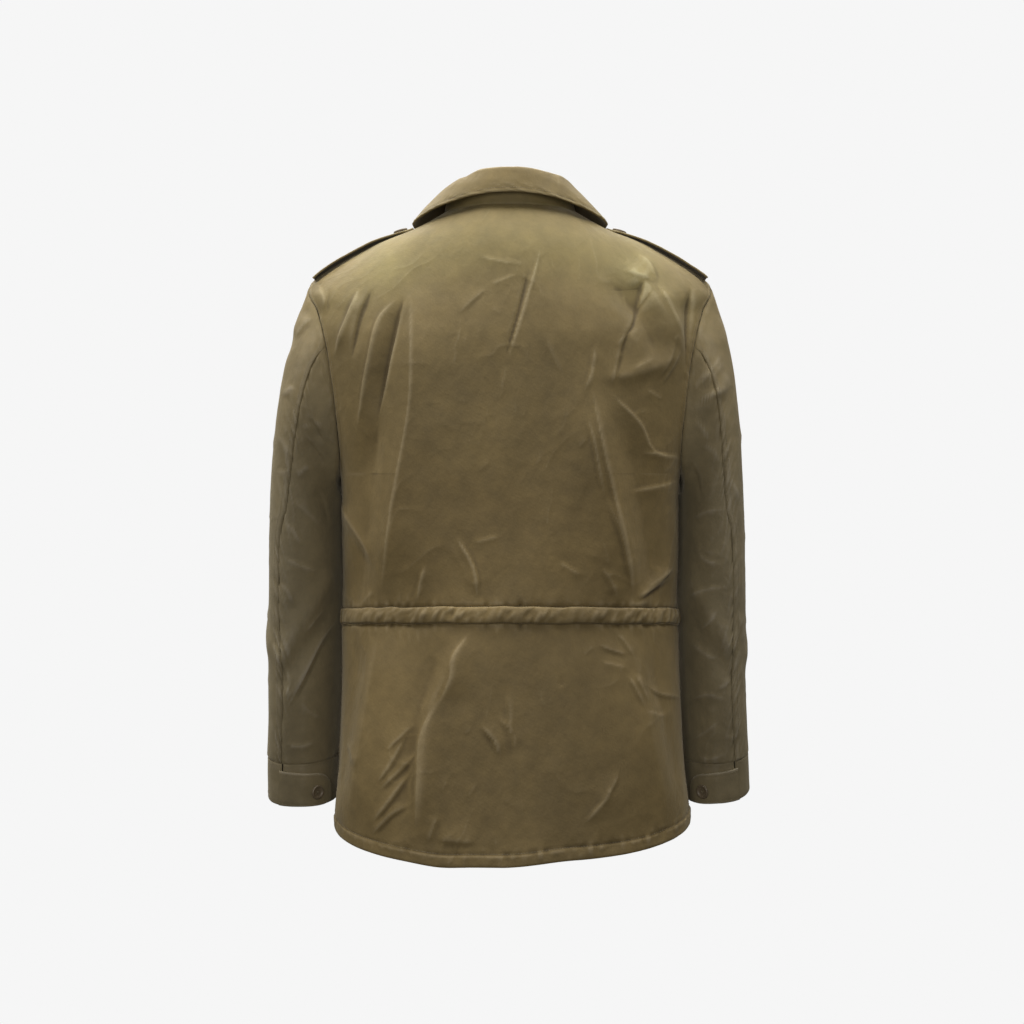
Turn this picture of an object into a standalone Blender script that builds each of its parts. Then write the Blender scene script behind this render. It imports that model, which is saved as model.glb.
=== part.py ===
"""Bush jacket, filled out as when worn, empty inside.

Frame: +Z up, the front faces -Y, the wearer's left is +X.  The origin is the
middle of the neck at the height of the neck seam, where the wearer's shoulders
carry the jacket.  All sizes are in metres.

Every cloth piece is a wall WALL thick.  Its outer face is a grid of points on
one of three forms: the torso (rings round the body), the sleeves (rings round
the arms, lofted from the armholes) and the collar.  Neighbouring pieces share
the form, so their edges run side by side SEAM apart.
"""
import math

import bmesh
import bpy
import mathutils
import numpy as np

# ------------------------------------------------------------------ sizes
WALL = 0.0020            # one cloth wall, shell and lining sewn as one
SEAM = 0.0003            # distance between neighbouring pieces
LAP = 0.0004             # distance between a piece and the panel it lies on
TRIM_WALL = 0.0024       # doubled cloth: straps, tabs, placket

BACK_COLUMNS = 20        # grid columns over the whole back
FRONT_COLUMNS = 7        # grid columns over each front
HEM_ROWS = 8             # rows from the hem to the drawcord channel
CHEST_ROWS = 5           # rows from the channel to the underarm
ARMHOLE_ROWS = 10        # rows along the armhole, and half the sleeve's columns
YOKE_ROWS = 5            # rows from the shoulder tip to the neck seam

CHANNEL_HALF = 0.090     # half height of the channel, in ring steps (12.5 mm)
CHANNEL_PUFF = 0.0016    # the channel's middle stands out this much more
ARMHOLE_BACK = 24.0      # depth of the armhole cut into the back, degrees
ARMHOLE_FRONT = 30.0     # depth of the armhole cut into the front, degrees
ARMHOLE_LEAN = 0.25      # the cut is this much deeper below its middle than above

BUTTON_DIAMETER = 0.0175
BUTTON_HEIGHT = 0.0032
PLACKET_HALF_WIDTH = 0.026
PLACKET_BUTTONS = 5
STRAP_HALF_WIDTH = 0.022

# Rings round the torso, from the hem up.  z at the side, at the centre back
# and at the centre front; half width; y of the back and of the front; the
# ring's exponent (2 is an ellipse, more is squarer); how z runs to the side.
# x_mid is where the ring's middle lies: the hem hangs a little to the right.
RING = ("name", "z_side", "z_back", "z_front", "x_mid", "half", "y_back", "y_front", "power", "z_power")
RINGS = [
    ("hem",          -0.737, -0.7682, -0.737, -0.0030, 0.2145, 0.137, -0.134, 2.50, 1.30),
    ("skirt",        -0.620, -0.632, -0.620, -0.0010, 0.2085, 0.133, -0.131, 2.50, 0.80),
    ("waist",        -0.486, -0.478, -0.489,  0.0000, 0.2030, 0.127, -0.124, 2.00, 1.00),
    ("ribs",         -0.400, -0.396, -0.400,  0.0000, 0.2045, 0.127, -0.131, 2.25, 1.00),
    ("underarm",     -0.315, -0.315, -0.315,  0.0000, 0.2060, 0.130, -0.138, 2.45, 1.00),
    ("chest",        -0.240, -0.243, -0.245,  0.0000, 0.2240, 0.132, -0.138, 2.25, 1.20),
    ("blades",       -0.160, -0.170, -0.180,  0.0000, 0.2380, 0.131, -0.128, 2.15, 1.40),
    ("upper_back",   -0.116, -0.136, -0.158,  0.0000, 0.2430, 0.128, -0.122, 1.95, 1.20),
    ("shoulder_tip", -0.082, -0.104, -0.136,  0.0000, 0.2410, 0.122, -0.115, 1.75, 1.00),
    ("shoulder",     -0.0395, -0.050, -0.112,  0.0000, 0.1700, 0.107, -0.107, 1.85, 1.50),
    ("collar_edge",  -0.019, -0.015, -0.092,  0.0000, 0.1180, 0.088, -0.098, 2.00, 2.00),
    ("neck",          0.001,  0.0035, -0.075,  0.0000, 0.0820, 0.0735, -0.090, 2.00, 2.00),
]
T_WAIST, T_UNDERARM, T_TIP, T_NECK = 2.0, 4.0, 8.0, 11.0
HEM_LIFT_RIGHT = 0.0066  # the right half of the hem hangs this much higher
HEM_DROP = (0.080, 0.028, 0.0024)  # middle, half width, depth of its low place

# Rings round each sleeve below its head, from the upper arm down: z, centre
# x and half width, centre y and half depth, the forward tilt in degrees, how
# much higher the outer side is than the middle, how much further forward the
# inner side lies, and the power of the ring's form (1 is an ellipse, less is
# squarer).
SLEEVE_RING = ("name", "z", "cx", "rx", "cy", "ry", "tilt", "lean", "skew", "round")
SLEEVE_RINGS = {
    "left": [
        ("upper_arm", -0.360, 0.2466, 0.0432, -0.024, 0.073, 1.0, 0.0, 0.028, 0.90),
        ("elbow",     -0.465, 0.2476, 0.0440, -0.028, 0.069, 4.0, 0.0, 0.028, 0.90),
        ("forearm",   -0.570, 0.2502, 0.0430, -0.033, 0.065, 7.0, 0.0, 0.026, 0.89),
        ("cuff_top",  -0.6555, 0.2535, 0.0424, -0.041, 0.060, 8.5, 0.0, 0.020, 0.85),
        ("cuff_end",  -0.7080, 0.2548, 0.0416, -0.046, 0.058, 8.5, 0.0024, 0.018, 0.82),
    ],
    "right": [
        ("upper_arm", -0.360, 0.2432, 0.0390, -0.024, 0.074, 1.0, 0.0, 0.028, 0.90),
        ("elbow",     -0.465, 0.2448, 0.0402, -0.028, 0.070, 4.0, 0.0, 0.028, 0.90),
        ("forearm",   -0.570, 0.2464, 0.0398, -0.033, 0.066, 7.0, 0.0, 0.026, 0.89),
        ("cuff_top",  -0.6545, 0.2512, 0.0396, -0.041, 0.061, 8.5, 0.0050, 0.020, 0.85),
        ("cuff_end",  -0.7035, 0.2545, 0.0388, -0.046, 0.059, 8.5, 0.0078, 0.018, 0.82),
    ],
}
HEAD_ROWS = 6                 # rows of the sleeve head, armhole to upper arm
ARM_ROWS = (2, 2, 2)          # rows between the sleeve rings down to the cuff
# Where the sleeve's hind seam lies, in degrees from the outer side to the
# back: it leaves the armhole at the back, swings out over the upper arm and
# comes part of the way back below the elbow.  The fore seam stays put.
HIND_HEAD = 90.0
HIND_ARM = {"left": 52.0, "right": 60.0}
HIND_CUFF = {"left": 62.0, "right": 64.0}
FORE_SEAM = 234.0
# How the sleeve leaves the armhole, from the top round to the underarm.
HEAD_TOP = (0.28, 0.00, -0.95)
HEAD_BACK = (0.62, 0.30, -0.72)
HEAD_UNDER = (0.42, 0.00, -0.90)

# The largest folds: a line down the cloth through four places (x, z), the
# half widths on its wearer's-right and wearer's-left sides, and the height
# (a trough is negative).
FOLD = ("name", "x1", "z1", "x2", "z2", "x3", "z3", "x4", "z4", "half_right", "half_left", "height")
BACK_FOLDS = [
    ("left_back_break",    0.116, -0.085, 0.1145, -0.210, 0.1335, -0.351, 0.1520, -0.480, 0.048, 0.013,  0.0065),
    ("left_side_valley",   0.119, -0.100, 0.1400, -0.165, 0.1560, -0.250, 0.1760, -0.345, 0.013, 0.014, -0.0060),
    ("left_flank_hollow",  0.158, -0.240, 0.1680, -0.340, 0.1780, -0.420, 0.1880, -0.500, 0.017, 0.022, -0.0065),
    ("left_skirt_break",   0.148, -0.480, 0.1580, -0.540, 0.1740, -0.640, 0.1920, -0.745, 0.046, 0.013,  0.0060),
    ("right_back_break",  -0.086, -0.170, -0.1170, -0.335, -0.1390, -0.450, -0.1440, -0.520, 0.015, 0.050, 0.0055),
    ("right_skirt_break", -0.134, -0.480, -0.1450, -0.540, -0.1680, -0.640, -0.1900, -0.745, 0.015, 0.046, 0.0055),
    ("left_skirt_hollow",  0.176, -0.490, 0.1860, -0.560, 0.1980, -0.640, 0.2060, -0.720, 0.014, 0.020, -0.0050),
    ("right_flank_hollow", -0.128, -0.230, -0.1520, -0.330, -0.1680, -0.420, -0.1740, -0.500, 0.022, 0.017, -0.0060),
    ("right_skirt_hollow", -0.164, -0.500, -0.1760, -0.560, -0.1940, -0.640, -0.2040, -0.710, 0.018, 0.014, -0.0045),
    ("skirt_slant",        0.046, -0.485, 0.0700, -0.545, 0.0960, -0.610, 0.1040, -0.750, 0.022, 0.011,  0.0050),
    ("skirt_dark_fold",    0.078, -0.500, 0.1060, -0.590, 0.1190, -0.660, 0.1240, -0.735, 0.012, 0.014, -0.0030),
    ("right_blade_ridge", -0.130, -0.060, -0.1700, -0.110, -0.1980, -0.150, -0.2080, -0.185, 0.011, 0.015, 0.0040),
    ("right_blade_hollow", -0.110, -0.080, -0.1400, -0.115, -0.1620, -0.150, -0.1760, -0.190, 0.012, 0.014, -0.0045),
    ("right_arm_pull",    -0.100, -0.205, -0.1400, -0.200, -0.1800, -0.185, -0.2050, -0.160, 0.012, 0.010, 0.0030),
    ("right_waist_fold",  -0.200, -0.410, -0.1800, -0.440, -0.1600, -0.462, -0.1300, -0.476, 0.010, 0.012, 0.0030),
]
FRONT_FOLDS = [
    ("left_front_drape",   0.120, -0.150, 0.1340, -0.240, 0.1400, -0.330, 0.1300, -0.450, 0.026, 0.014, 0.0050),
    ("right_front_drape", -0.128, -0.170, -0.1360, -0.260, -0.1380, -0.340, -0.1200, -0.455, 0.014, 0.026, 0.0045),
    ("left_front_skirt",   0.120, -0.500, 0.1340, -0.570, 0.1440, -0.650, 0.1500, -0.735, 0.026, 0.014, 0.0050),
    ("right_front_skirt", -0.132, -0.500, -0.1300, -0.580, -0.1360, -0.660, -0.1480, -0.735, 0.014, 0.024, 0.0050),
]
# Folds of the sleeves: the line runs from one angle and height to another.
ARM_FOLD = ("name", "a1", "z1", "a2", "z2", "half", "height")
SLEEVE_FOLDS = {
    "left": [
        ("head_fold",   60.0, -0.125, 30.0, -0.160, 0.012, -0.0025),
        ("elbow_fold", 128.0, -0.440, 62.0, -0.530, 0.013,  0.0022),
        ("elbow_dip",  132.0, -0.475, 66.0, -0.560, 0.013, -0.0020),
        ("fore_fold",  -60.0, -0.450, 20.0, -0.520, 0.014,  0.0030),
    ],
    "right": [
        ("head_fold",   66.0, -0.205, 110.0, -0.235, 0.011, 0.0025),
        ("elbow_fold", 120.0, -0.450, 68.0, -0.520, 0.013,  0.0022),
        ("elbow_dip",  126.0, -0.490, 70.0, -0.555, 0.013, -0.0020),
        ("fore_fold",  -64.0, -0.470, 16.0, -0.530, 0.014,  0.0030),
    ],
}

# Collar: the stand rises from the neck seam to the fold line, and the fall
# turns over it to its edge.  Half width, y of back and front, z at back,
# side and front.
COLLAR = ("name", "half", "y_back", "y_front", "z_back", "z_side", "z_front", "power")
COLLAR_LINES = [
    ("stand_foot", 0.0800, 0.0715, -0.0880, 0.0050, 0.0026, -0.0730, 2.00),
    ("stand_top",  0.0745, 0.0715, -0.0800, 0.0360, 0.0250, -0.0360, 2.00),
    ("fall_start", 0.0755, 0.0725, -0.0815, 0.0390, 0.0290, -0.0330, 2.00),
    ("fall_crown", 0.0830, 0.0775, -0.0880, 0.0505, 0.0290, -0.0310, 2.00),
    ("fall_edge",  0.1190, 0.0855, -0.1160, 0.0162, -0.0105, -0.0840, 2.00),
]
COLLAR_COLUMNS = 24
STAND_ROWS = 2
FALL_ROWS = 4
STAND_OPEN = 3.0         # degrees from the centre front to the stand's ends
FALL_OPEN = 9.0          # degrees from the centre front to the fall's ends
COLLAR_POINT = 0.010     # the fall is this much longer at its front points

# Cuff tab: angles round the cuff, and how much of the cuff's height it takes.
TAB_FROM, TAB_TO = 60.0, 139.0
TAB_TOP = 0.12
CUFF_ROWS = 2
CUFF_BUTTON_ANGLE = 111.5
CUFF_BUTTON_HEIGHT = 0.56     # from the top of the cuff down
# Shoulder straps: from the armhole to beyond the collar's edge.
STRAP_FROM, STRAP_TO = 0.2375, 0.1165
STRAP_ROWS = 8
STRAP_STAND = 0.0024          # the middle of the strap stands off the shoulder
STRAP_BUTTON_X = 0.1316

COLOURS = {
    "cloth": (0.118, 0.098, 0.045, 1.0),
    "trim": (0.125, 0.104, 0.048, 1.0),
    "button": (0.060, 0.050, 0.026, 1.0),
}


# ------------------------------------------------------------------ helpers
def column(table, fields, name):
    """One named column of a table, as an array."""
    return np.array([row[fields.index(name)] for row in table], dtype=float)


def along(values, t):
    """Values of a column read at ring position t, on a smooth curve."""
    t = np.clip(np.asarray(t, dtype=float), 0.0, len(values) - 1.0)
    i = np.minimum(t.astype(int), len(values) - 2)
    f = t - i
    p0 = values[np.maximum(i - 1, 0)]
    p1, p2 = values[i], values[i + 1]
    p3 = values[np.minimum(i + 2, len(values) - 1)]
    return (p1 + 0.5 * f * (p2 - p0 + f * (2 * p0 - 5 * p1 + 4 * p2 - p3
            + f * (3 * (p1 - p2) + p3 - p0))))


def unit(v):
    return v / np.maximum(np.linalg.norm(v, axis=-1, keepdims=True), 1e-12)


def ease(x, lo=0.0, hi=1.0):
    """0 below lo, 1 above hi, and a smooth rise between."""
    f = np.clip((x - lo) / (hi - lo), 0.0, 1.0)
    return f * f * (3 - 2 * f)


def smooth_line(points, steps):
    """A smooth run of points through a few."""
    pts = np.array(points, dtype=float)
    t = np.linspace(0, len(pts) - 1, steps * (len(pts) - 1) + 1)
    return np.stack([along(pts[:, 0], t), along(pts[:, 1], t)], axis=-1)


def line_distance(a, b, points):
    """Distance from (a, b) to a line of straight runs between points."""
    best = None
    for (a0, b0), (a1, b1) in zip(points[:-1], points[1:]):
        da, db = a1 - a0, b1 - b0
        s = np.clip(((a - a0) * da + (b - b0) * db) / (da * da + db * db), 0.0, 1.0)
        d = np.hypot(a - a0 - s * da, b - b0 - s * db)
        best = d if best is None else np.minimum(best, d)
    return best


# ------------------------------------------------------------------ torso
def torso_plain(phi, t):
    """Torso without folds; phi is 0 at the centre back, 90 at the left side."""
    phi, t = np.broadcast_arrays(np.asarray(phi, float), np.asarray(t, float))
    ring = {n: along(column(RINGS, RING, n), t) for n in RING[1:]}
    s, c = np.sin(np.radians(phi)), np.cos(np.radians(phi))
    back = c >= 0
    x = ring["x_mid"] + ring["half"] * np.sign(s) * np.abs(s) ** (2 / ring["power"])
    y = np.where(back, ring["y_back"], ring["y_front"]) * np.abs(c) ** (2 / ring["power"])
    z = ring["z_side"] + (np.where(back, ring["z_back"], ring["z_front"])
                          - ring["z_side"]) * np.abs(c) ** ring["z_power"]
    low = np.clip(1 - t, 0, 1)
    z = z + HEM_LIFT_RIGHT * ease(-x, -0.01, 0.075) * low
    z = z - HEM_DROP[2] * np.exp(-((x - HEM_DROP[0]) / HEM_DROP[1]) ** 2) * back * low
    return np.stack([x, y, z], axis=-1)


def normals(form, phi, t, da=0.4, dt=0.01, top=T_NECK):
    """Outward directions of a form, from small steps round it and along it."""
    t_lo, t_hi = np.clip(t - dt, 0, top), np.clip(t + dt, 0, top)
    round_it = form(phi + da, t) - form(phi - da, t)
    up = form(phi, t_hi) - form(phi, t_lo)
    return unit(np.cross(round_it, up))


def fold_height(x, z, row):
    """Height of one fold at places (x, z): it rises and dies out along its line."""
    cells = dict(zip(FOLD, row))
    pts = smooth_line([(cells["x%d" % k], cells["z%d" % k]) for k in (1, 2, 3, 4)], 4)
    runs = np.hypot(*np.diff(pts, axis=0).T)
    start = np.concatenate([[0.0], np.cumsum(runs)])
    best = np.full(np.shape(x), 1e9)
    side, place = np.zeros_like(best), np.zeros_like(best)
    for k, run in enumerate(runs):
        dx, dz = pts[k + 1] - pts[k]
        f = np.clip(((x - pts[k, 0]) * dx + (z - pts[k, 1]) * dz) / run ** 2, 0, 1)
        ex, ez = x - pts[k, 0] - f * dx, z - pts[k, 1] - f * dz
        d = np.hypot(ex, ez)
        near = d < best
        best = np.where(near, d, best)
        side = np.where(near, ex * -dz + ez * dx, side)
        place = np.where(near, (start[k] + f * run) / start[-1], place)
    width = np.where(side > 0, cells["half_left"], cells["half_right"])
    fade = ease(place / 0.28) * ease((1 - place) / 0.28)
    return cells["height"] * fade * np.exp(-(best / width) ** 1.7)


def torso_folds(p):
    """Height of the folds at points of the torso."""
    h = np.zeros(p.shape[:-1])
    w = ease(p[..., 1], -0.02, 0.02)
    for table, side in ((BACK_FOLDS, w), (FRONT_FOLDS, 1 - w)):
        for row in table:
            h = h + side * fold_height(p[..., 0], p[..., 2], row)
    return h


def torso_up(phi, t):
    """Outward direction of the plain torso, pointing away from its axis."""
    n = normals(torso_plain, phi, t)
    return -n


def torso(phi, t):
    phi, t = np.broadcast_arrays(np.asarray(phi, float), np.asarray(t, float))
    p = torso_plain(phi, t)
    return p + torso_folds(p)[..., None] * torso_up(phi, t)


def armhole(angle, side):
    """Ring position and torso angle of the armhole, from the shoulder tip
    (0 degrees) over the back (90) to the underarm (180) and the front (270)."""
    a = np.radians(angle)
    t = T_UNDERARM + (T_TIP - T_UNDERARM) * (1 + np.cos(a)) / 2
    cut = np.where(np.sin(a) >= 0, ARMHOLE_BACK, ARMHOLE_FRONT) * np.sin(a)
    return side * (90.0 - cut * (1 - ARMHOLE_LEAN * np.cos(a))), t


# ------------------------------------------------------------------ sleeves
def sleeve_ring(angle, r, side):
    """Points of the sleeve below its head, r in ring steps from the upper arm."""
    table = SLEEVE_RINGS["left" if side > 0 else "right"]
    ring = {n: along(column(table, SLEEVE_RING, n), r) for n in SLEEVE_RING[1:]}
    a, tilt = np.radians(angle), np.radians(ring["tilt"])
    x = ring["cx"] + ring["rx"] * np.sign(np.cos(a)) * np.abs(np.cos(a)) ** ring["round"]
    y = ring["cy"] + ring["ry"] * np.cos(tilt) * np.sign(np.sin(a)) * np.abs(np.sin(a)) ** ring["round"]
    y = y + ring["skew"] * np.cos(a)
    z = ring["z"] - ring["ry"] * np.sin(tilt) * np.sin(a) + ring["lean"] * np.cos(a)
    return np.stack([side * x, y, z], axis=-1)


def sleeve_plain(angle, r, side):
    """Whole sleeve; r runs from -1 at the armhole, 0 at the upper arm, to 4."""
    angle, r = np.broadcast_arrays(np.asarray(angle, float), np.asarray(r, float))
    low = sleeve_ring(angle, np.maximum(r, 0.0), side)
    start = torso(*armhole(angle, side))
    end = sleeve_ring(angle, np.zeros_like(r), side)
    reach = np.linalg.norm(end - start, axis=-1, keepdims=True)
    a = np.radians(angle)[..., None]
    top = np.clip(np.cos(a), 0, 1) ** 1.5
    under = np.clip(-np.cos(a), 0, 1) ** 1.5
    mid = np.abs(np.sin(a)) ** 1.5
    turn = np.concatenate([np.ones_like(a), np.sign(np.sin(a)), np.ones_like(a)], -1)
    lead = unit(top * HEAD_TOP + under * HEAD_UNDER + mid * HEAD_BACK * turn)
    lead = lead * np.array([side, 1.0, 1.0]) * reach
    tail = unit(sleeve_ring(angle, np.zeros_like(r) + 0.1, side) - end) * reach
    f = np.clip(r + 1.0, 0.0, 1.0)[..., None]
    head = ((2 * f ** 3 - 3 * f ** 2 + 1) * start + (f ** 3 - 2 * f ** 2 + f) * lead
            + (3 * f ** 2 - 2 * f ** 3) * end + (f ** 3 - f ** 2) * tail)
    return np.where((r > 0)[..., None], low, head)


def sleeve_out(angle, r, side):
    """Outward direction of the plain sleeve."""
    lo, hi = np.clip(r - 0.02, -1, 4), np.clip(r + 0.02, -1, 4)
    round_it = sleeve_plain(angle + 1.0, r, side) - sleeve_plain(angle - 1.0, r, side)
    down = sleeve_plain(angle, hi, side) - sleeve_plain(angle, lo, side)
    return side * unit(np.cross(down, round_it))


def sleeve(angle, r, side):
    angle, r = np.broadcast_arrays(np.asarray(angle, float), np.asarray(r, float))
    p = sleeve_plain(angle, r, side)
    table = SLEEVE_FOLDS["left" if side > 0 else "right"]
    wrapped = (angle + 180.0) % 360.0 - 180.0
    h = np.zeros(p.shape[:-1])
    for name, a1, z1, a2, z2, half, height in table:
        d = line_distance(wrapped * 0.001, p[..., 2], [(a1 * 0.001, z1), (a2 * 0.001, z2)])
        h = h + height * np.exp(-(d / half) ** 2)
    h = h * np.clip((r + 1.0) * 3.0, 0, 1) * np.clip(3.0 - r, 0, 1)
    return p + h[..., None] * sleeve_out(angle, r, side)


def seam_directions(angle, side):
    """Directions across the cloth at the armhole: torso's and sleeve's.  Over
    the top and the back both lean to their middle, so their edges are parallel;
    at the underarm the two walls lie face to face and keep their own."""
    phi, t = armhole(angle, side)
    n_body = torso_up(phi, t)
    n_arm = sleeve_out(angle, np.full_like(t, -1.0) + 0.02, side)
    middle = unit(n_body + n_arm)
    w = np.clip(1.6 * (1 + np.cos(np.radians(angle))), 0, 1)[..., None]
    return unit(n_body * (1 - w) + middle * w), unit(n_arm * (1 - w) + middle * w)


# ------------------------------------------------------------------ solids
def material(kind, roughness):
    name = "mat_" + kind
    if name in bpy.data.materials:
        return bpy.data.materials[name]
    mat = bpy.data.materials.new(name)
    mat.use_nodes = True
    shader = mat.node_tree.nodes["Principled BSDF"]
    shader.inputs["Base Color"].default_value = COLOURS[kind]
    shader.inputs["Roughness"].default_value = roughness
    shader.inputs["Metallic"].default_value = 0.0
    mat.diffuse_color = COLOURS[kind]
    return mat


def place(mesh, name, kind, collection):
    obj = bpy.data.objects.new(name, mesh)
    collection.objects.link(obj)
    mesh.materials.append(material(kind, 0.75 if kind != "button" else 0.45))
    return obj


def loft(name, outer, inner, kind, collection):
    """A closed cloth wall between two grids of points, rows by columns."""
    rows, cols = outer.shape[:2]
    bm = bmesh.new()
    sheets = [[[bm.verts.new(grid[i, j]) for j in range(cols)] for i in range(rows)]
              for grid in (outer, inner)]
    top, low = sheets
    for i in range(rows - 1):
        for j in range(cols - 1):
            bm.faces.new((top[i][j], top[i][j + 1], top[i + 1][j + 1], top[i + 1][j]))
            bm.faces.new((low[i][j], low[i + 1][j], low[i + 1][j + 1], low[i][j + 1]))
    rim = ([(i, 0) for i in range(rows)] + [(rows - 1, j) for j in range(1, cols)]
           + [(i, cols - 1) for i in range(rows - 2, -1, -1)]
           + [(0, j) for j in range(cols - 2, -1, -1)])
    for (i0, j0), (i1, j1) in zip(rim[:-1], rim[1:]):
        bm.faces.new((top[i0][j0], top[i1][j1], low[i1][j1], low[i0][j0]))
    bmesh.ops.triangulate(bm, faces=bm.faces[:])
    bmesh.ops.recalc_face_normals(bm, faces=bm.faces[:])
    mesh = bpy.data.meshes.new(name)
    bm.to_mesh(mesh)
    bm.free()
    mesh.shade_smooth()
    mesh.set_sharp_from_angle(angle=math.radians(50))
    return place(mesh, name, kind, collection)


def ease_edges(grid, sides, step=SEAM / 2):
    """Draw the named edges of a grid back from their seam line."""
    grid = grid.copy()
    if "first_row" in sides:
        grid[0] += step * unit(grid[1] - grid[0])
    if "last_row" in sides:
        grid[-1] += step * unit(grid[-2] - grid[-1])
    if "first_column" in sides:
        grid[:, 0] += step * unit(grid[:, 1] - grid[:, 0])
    if "last_column" in sides:
        grid[:, -1] += step * unit(grid[:, -2] - grid[:, -1])
    return grid


def panel(name, outer, out, sides, collection, kind="cloth", wall=WALL):
    moved = ease_edges(outer, sides)
    return loft(name, moved, moved - wall * out, kind, collection)


def torso_rows():
    """Ring positions of the torso grid's rows, hem to neck seam."""
    low, high = T_WAIST - CHANNEL_HALF, T_WAIST + CHANNEL_HALF
    parts = [np.linspace(0, low, HEM_ROWS + 1)[:-1], np.array([low, T_WAIST]),
             np.linspace(high, T_UNDERARM, CHEST_ROWS + 1)[:-1]]
    a = np.linspace(180.0, 0.0, ARMHOLE_ROWS + 1)
    parts.append(armhole(a, 1)[1])
    parts.append(np.linspace(T_TIP, T_NECK, YOKE_ROWS + 1)[1:])
    return np.concatenate(parts)


def armhole_edge(t, cut):
    """Torso angle of a panel's side edge at ring position t."""
    c = np.clip(2 * (t - T_UNDERARM) / (T_TIP - T_UNDERARM) - 1, -1, 1)
    return 90.0 - cut * np.sqrt(1 - c * c) * (1 - ARMHOLE_LEAN * c)


def armhole_angle(t, sign):
    """Angle round the armhole at ring position t, over back (+) or front (-)."""
    c = np.clip(2 * (t - T_UNDERARM) / (T_TIP - T_UNDERARM) - 1, -1, 1)
    return sign * np.degrees(np.arccos(c))


def torso_grid(edge_from, edge_to, columns, front_side=0):
    """Points, directions and angles of a torso panel between two edges."""
    t = torso_rows()
    u = np.linspace(0, 1, columns + 1)[None, :]
    phi = edge_from(t)[:, None] * (1 - u) + edge_to(t)[:, None] * u
    tt = np.broadcast_to(t[:, None], phi.shape)
    points, out = torso(phi, tt), torso_up(phi, tt).copy()
    hole = (t >= T_UNDERARM) & (t <= T_TIP)
    for j in (0, -1):
        if abs(abs(points[hole][len(points[hole]) // 2, j, 0])) < 0.05:
            continue
        side = 1 if points[hole][0, j, 0] > 0 else -1
        angles = armhole_angle(t[hole], -1 if front_side else 1)
        out[hole, j] = seam_directions(angles, side)[0]
    return points, out, phi, tt


def torso_strip(phi, t, lift, puff):
    """A strip lying on torso panels: their own points, moved out."""
    out = torso_up(phi, t)
    bulge = np.zeros(phi.shape[0])
    bulge[1:-1] = puff
    foot = torso(phi, t) + lift * out
    return foot + (WALL + bulge[:, None, None]) * out, foot


def hind_seam(r, side):
    """Degrees at which the sleeve's hind seam lies at ring step r."""
    name = "left" if side > 0 else "right"
    arm, cuff = HIND_ARM[name], HIND_CUFF[name]
    return (HIND_HEAD + (arm - HIND_HEAD) * ease(r, -0.75, 0.5)
            + (cuff - arm) * ease(r, 1.0, 2.0))


def sleeve_grid(side, which):
    """Points and directions of the top or the under sleeve."""
    fore = FORE_SEAM
    step = 180.0 / ARMHOLE_ROWS
    r = np.concatenate([np.linspace(-1, 0, HEAD_ROWS + 1)]
                       + [np.linspace(i, i + 1, n + 1)[1:] for i, n in enumerate(ARM_ROWS)])
    hind = hind_seam(r, side)
    if which == "top":
        n = int(round((hind[0] - fore + 360.0) / step))
        first, last = np.full_like(r, fore - 360.0), hind
    else:
        n = int(round((fore - hind[0]) / step))
        first, last = hind, np.full_like(r, fore)
    u = np.linspace(0, 1, n + 1)[None, :]
    angle = first[:, None] * (1 - u) + last[:, None] * u
    rr = np.broadcast_to(r[:, None], angle.shape)
    points, out = sleeve(angle, rr, side), sleeve_out(angle, rr, side).copy()
    out[0] = seam_directions(angle[0], side)[1]
    return points, out


def cuff_grid(side, first, last, columns, from_top, to_bottom, rows, lift):
    """Points and directions on the cuff between two angles and two heights."""
    angle = np.linspace(first, last, columns + 1)[None, :]
    r = 3.0 + np.linspace(from_top, to_bottom, rows + 1)[:, None]
    angle, r = np.broadcast_arrays(angle, r)
    out = sleeve_out(angle, r, side)
    return sleeve_plain(angle, r, side) + lift * out, out


def collar_line(name, phi):
    """A line round the neck; phi is 0 at the centre back."""
    row = [r for r in COLLAR_LINES if r[0] == name][0]
    _, half, y_back, y_front, z_back, z_side, z_front, power = row
    s, c = np.sin(np.radians(phi)), np.cos(np.radians(phi))
    x = half * np.sign(s) * np.abs(s) ** (2 / power)
    y = np.where(c >= 0, y_back, y_front) * np.abs(c) ** (2 / power)
    z = z_side + np.where(c >= 0, (z_back - z_side) * c ** 2,
                          (z_front - z_side) * c ** 2)
    return np.stack([x, y, z], axis=-1)


def grid_out(grid, flip):
    """Directions across a grid, from its own rows and columns."""
    return unit(np.cross(np.gradient(grid, axis=1), np.gradient(grid, axis=0))) * flip


def button(name, centre, out, up, collection):
    """A sewn-on button: a turned disc with a rim, lying on its cloth."""
    r, h = BUTTON_DIAMETER / 2, BUTTON_HEIGHT
    profile = [(0.0, h * 0.62), (r * 0.50, h * 0.62), (r * 0.72, h), (r * 0.90, h),
               (r, h * 0.70), (r * 0.94, 0.0), (0.0, 0.0)]
    curve = bpy.data.meshes.new(name)
    curve.from_pydata([(x, 0.0, z) for x, z in profile],
                      [(i, i + 1) for i in range(len(profile) - 1)], [])
    obj = place(curve, name, "button", collection)
    turn = obj.modifiers.new("turn", "SCREW")
    turn.steps = turn.render_steps = 14
    turn.use_merge_vertices = True
    turn.merge_threshold = 0.00005
    z_axis = unit(out)
    x_axis = unit(np.cross(up, z_axis))
    y_axis = np.cross(z_axis, x_axis)
    turn_to = mathutils.Matrix([[*row] for row in np.stack([x_axis, y_axis, z_axis], 1)]).to_4x4()
    obj.matrix_world = mathutils.Matrix.Translation([float(c) for c in centre]) @ turn_to
    return obj


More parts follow.
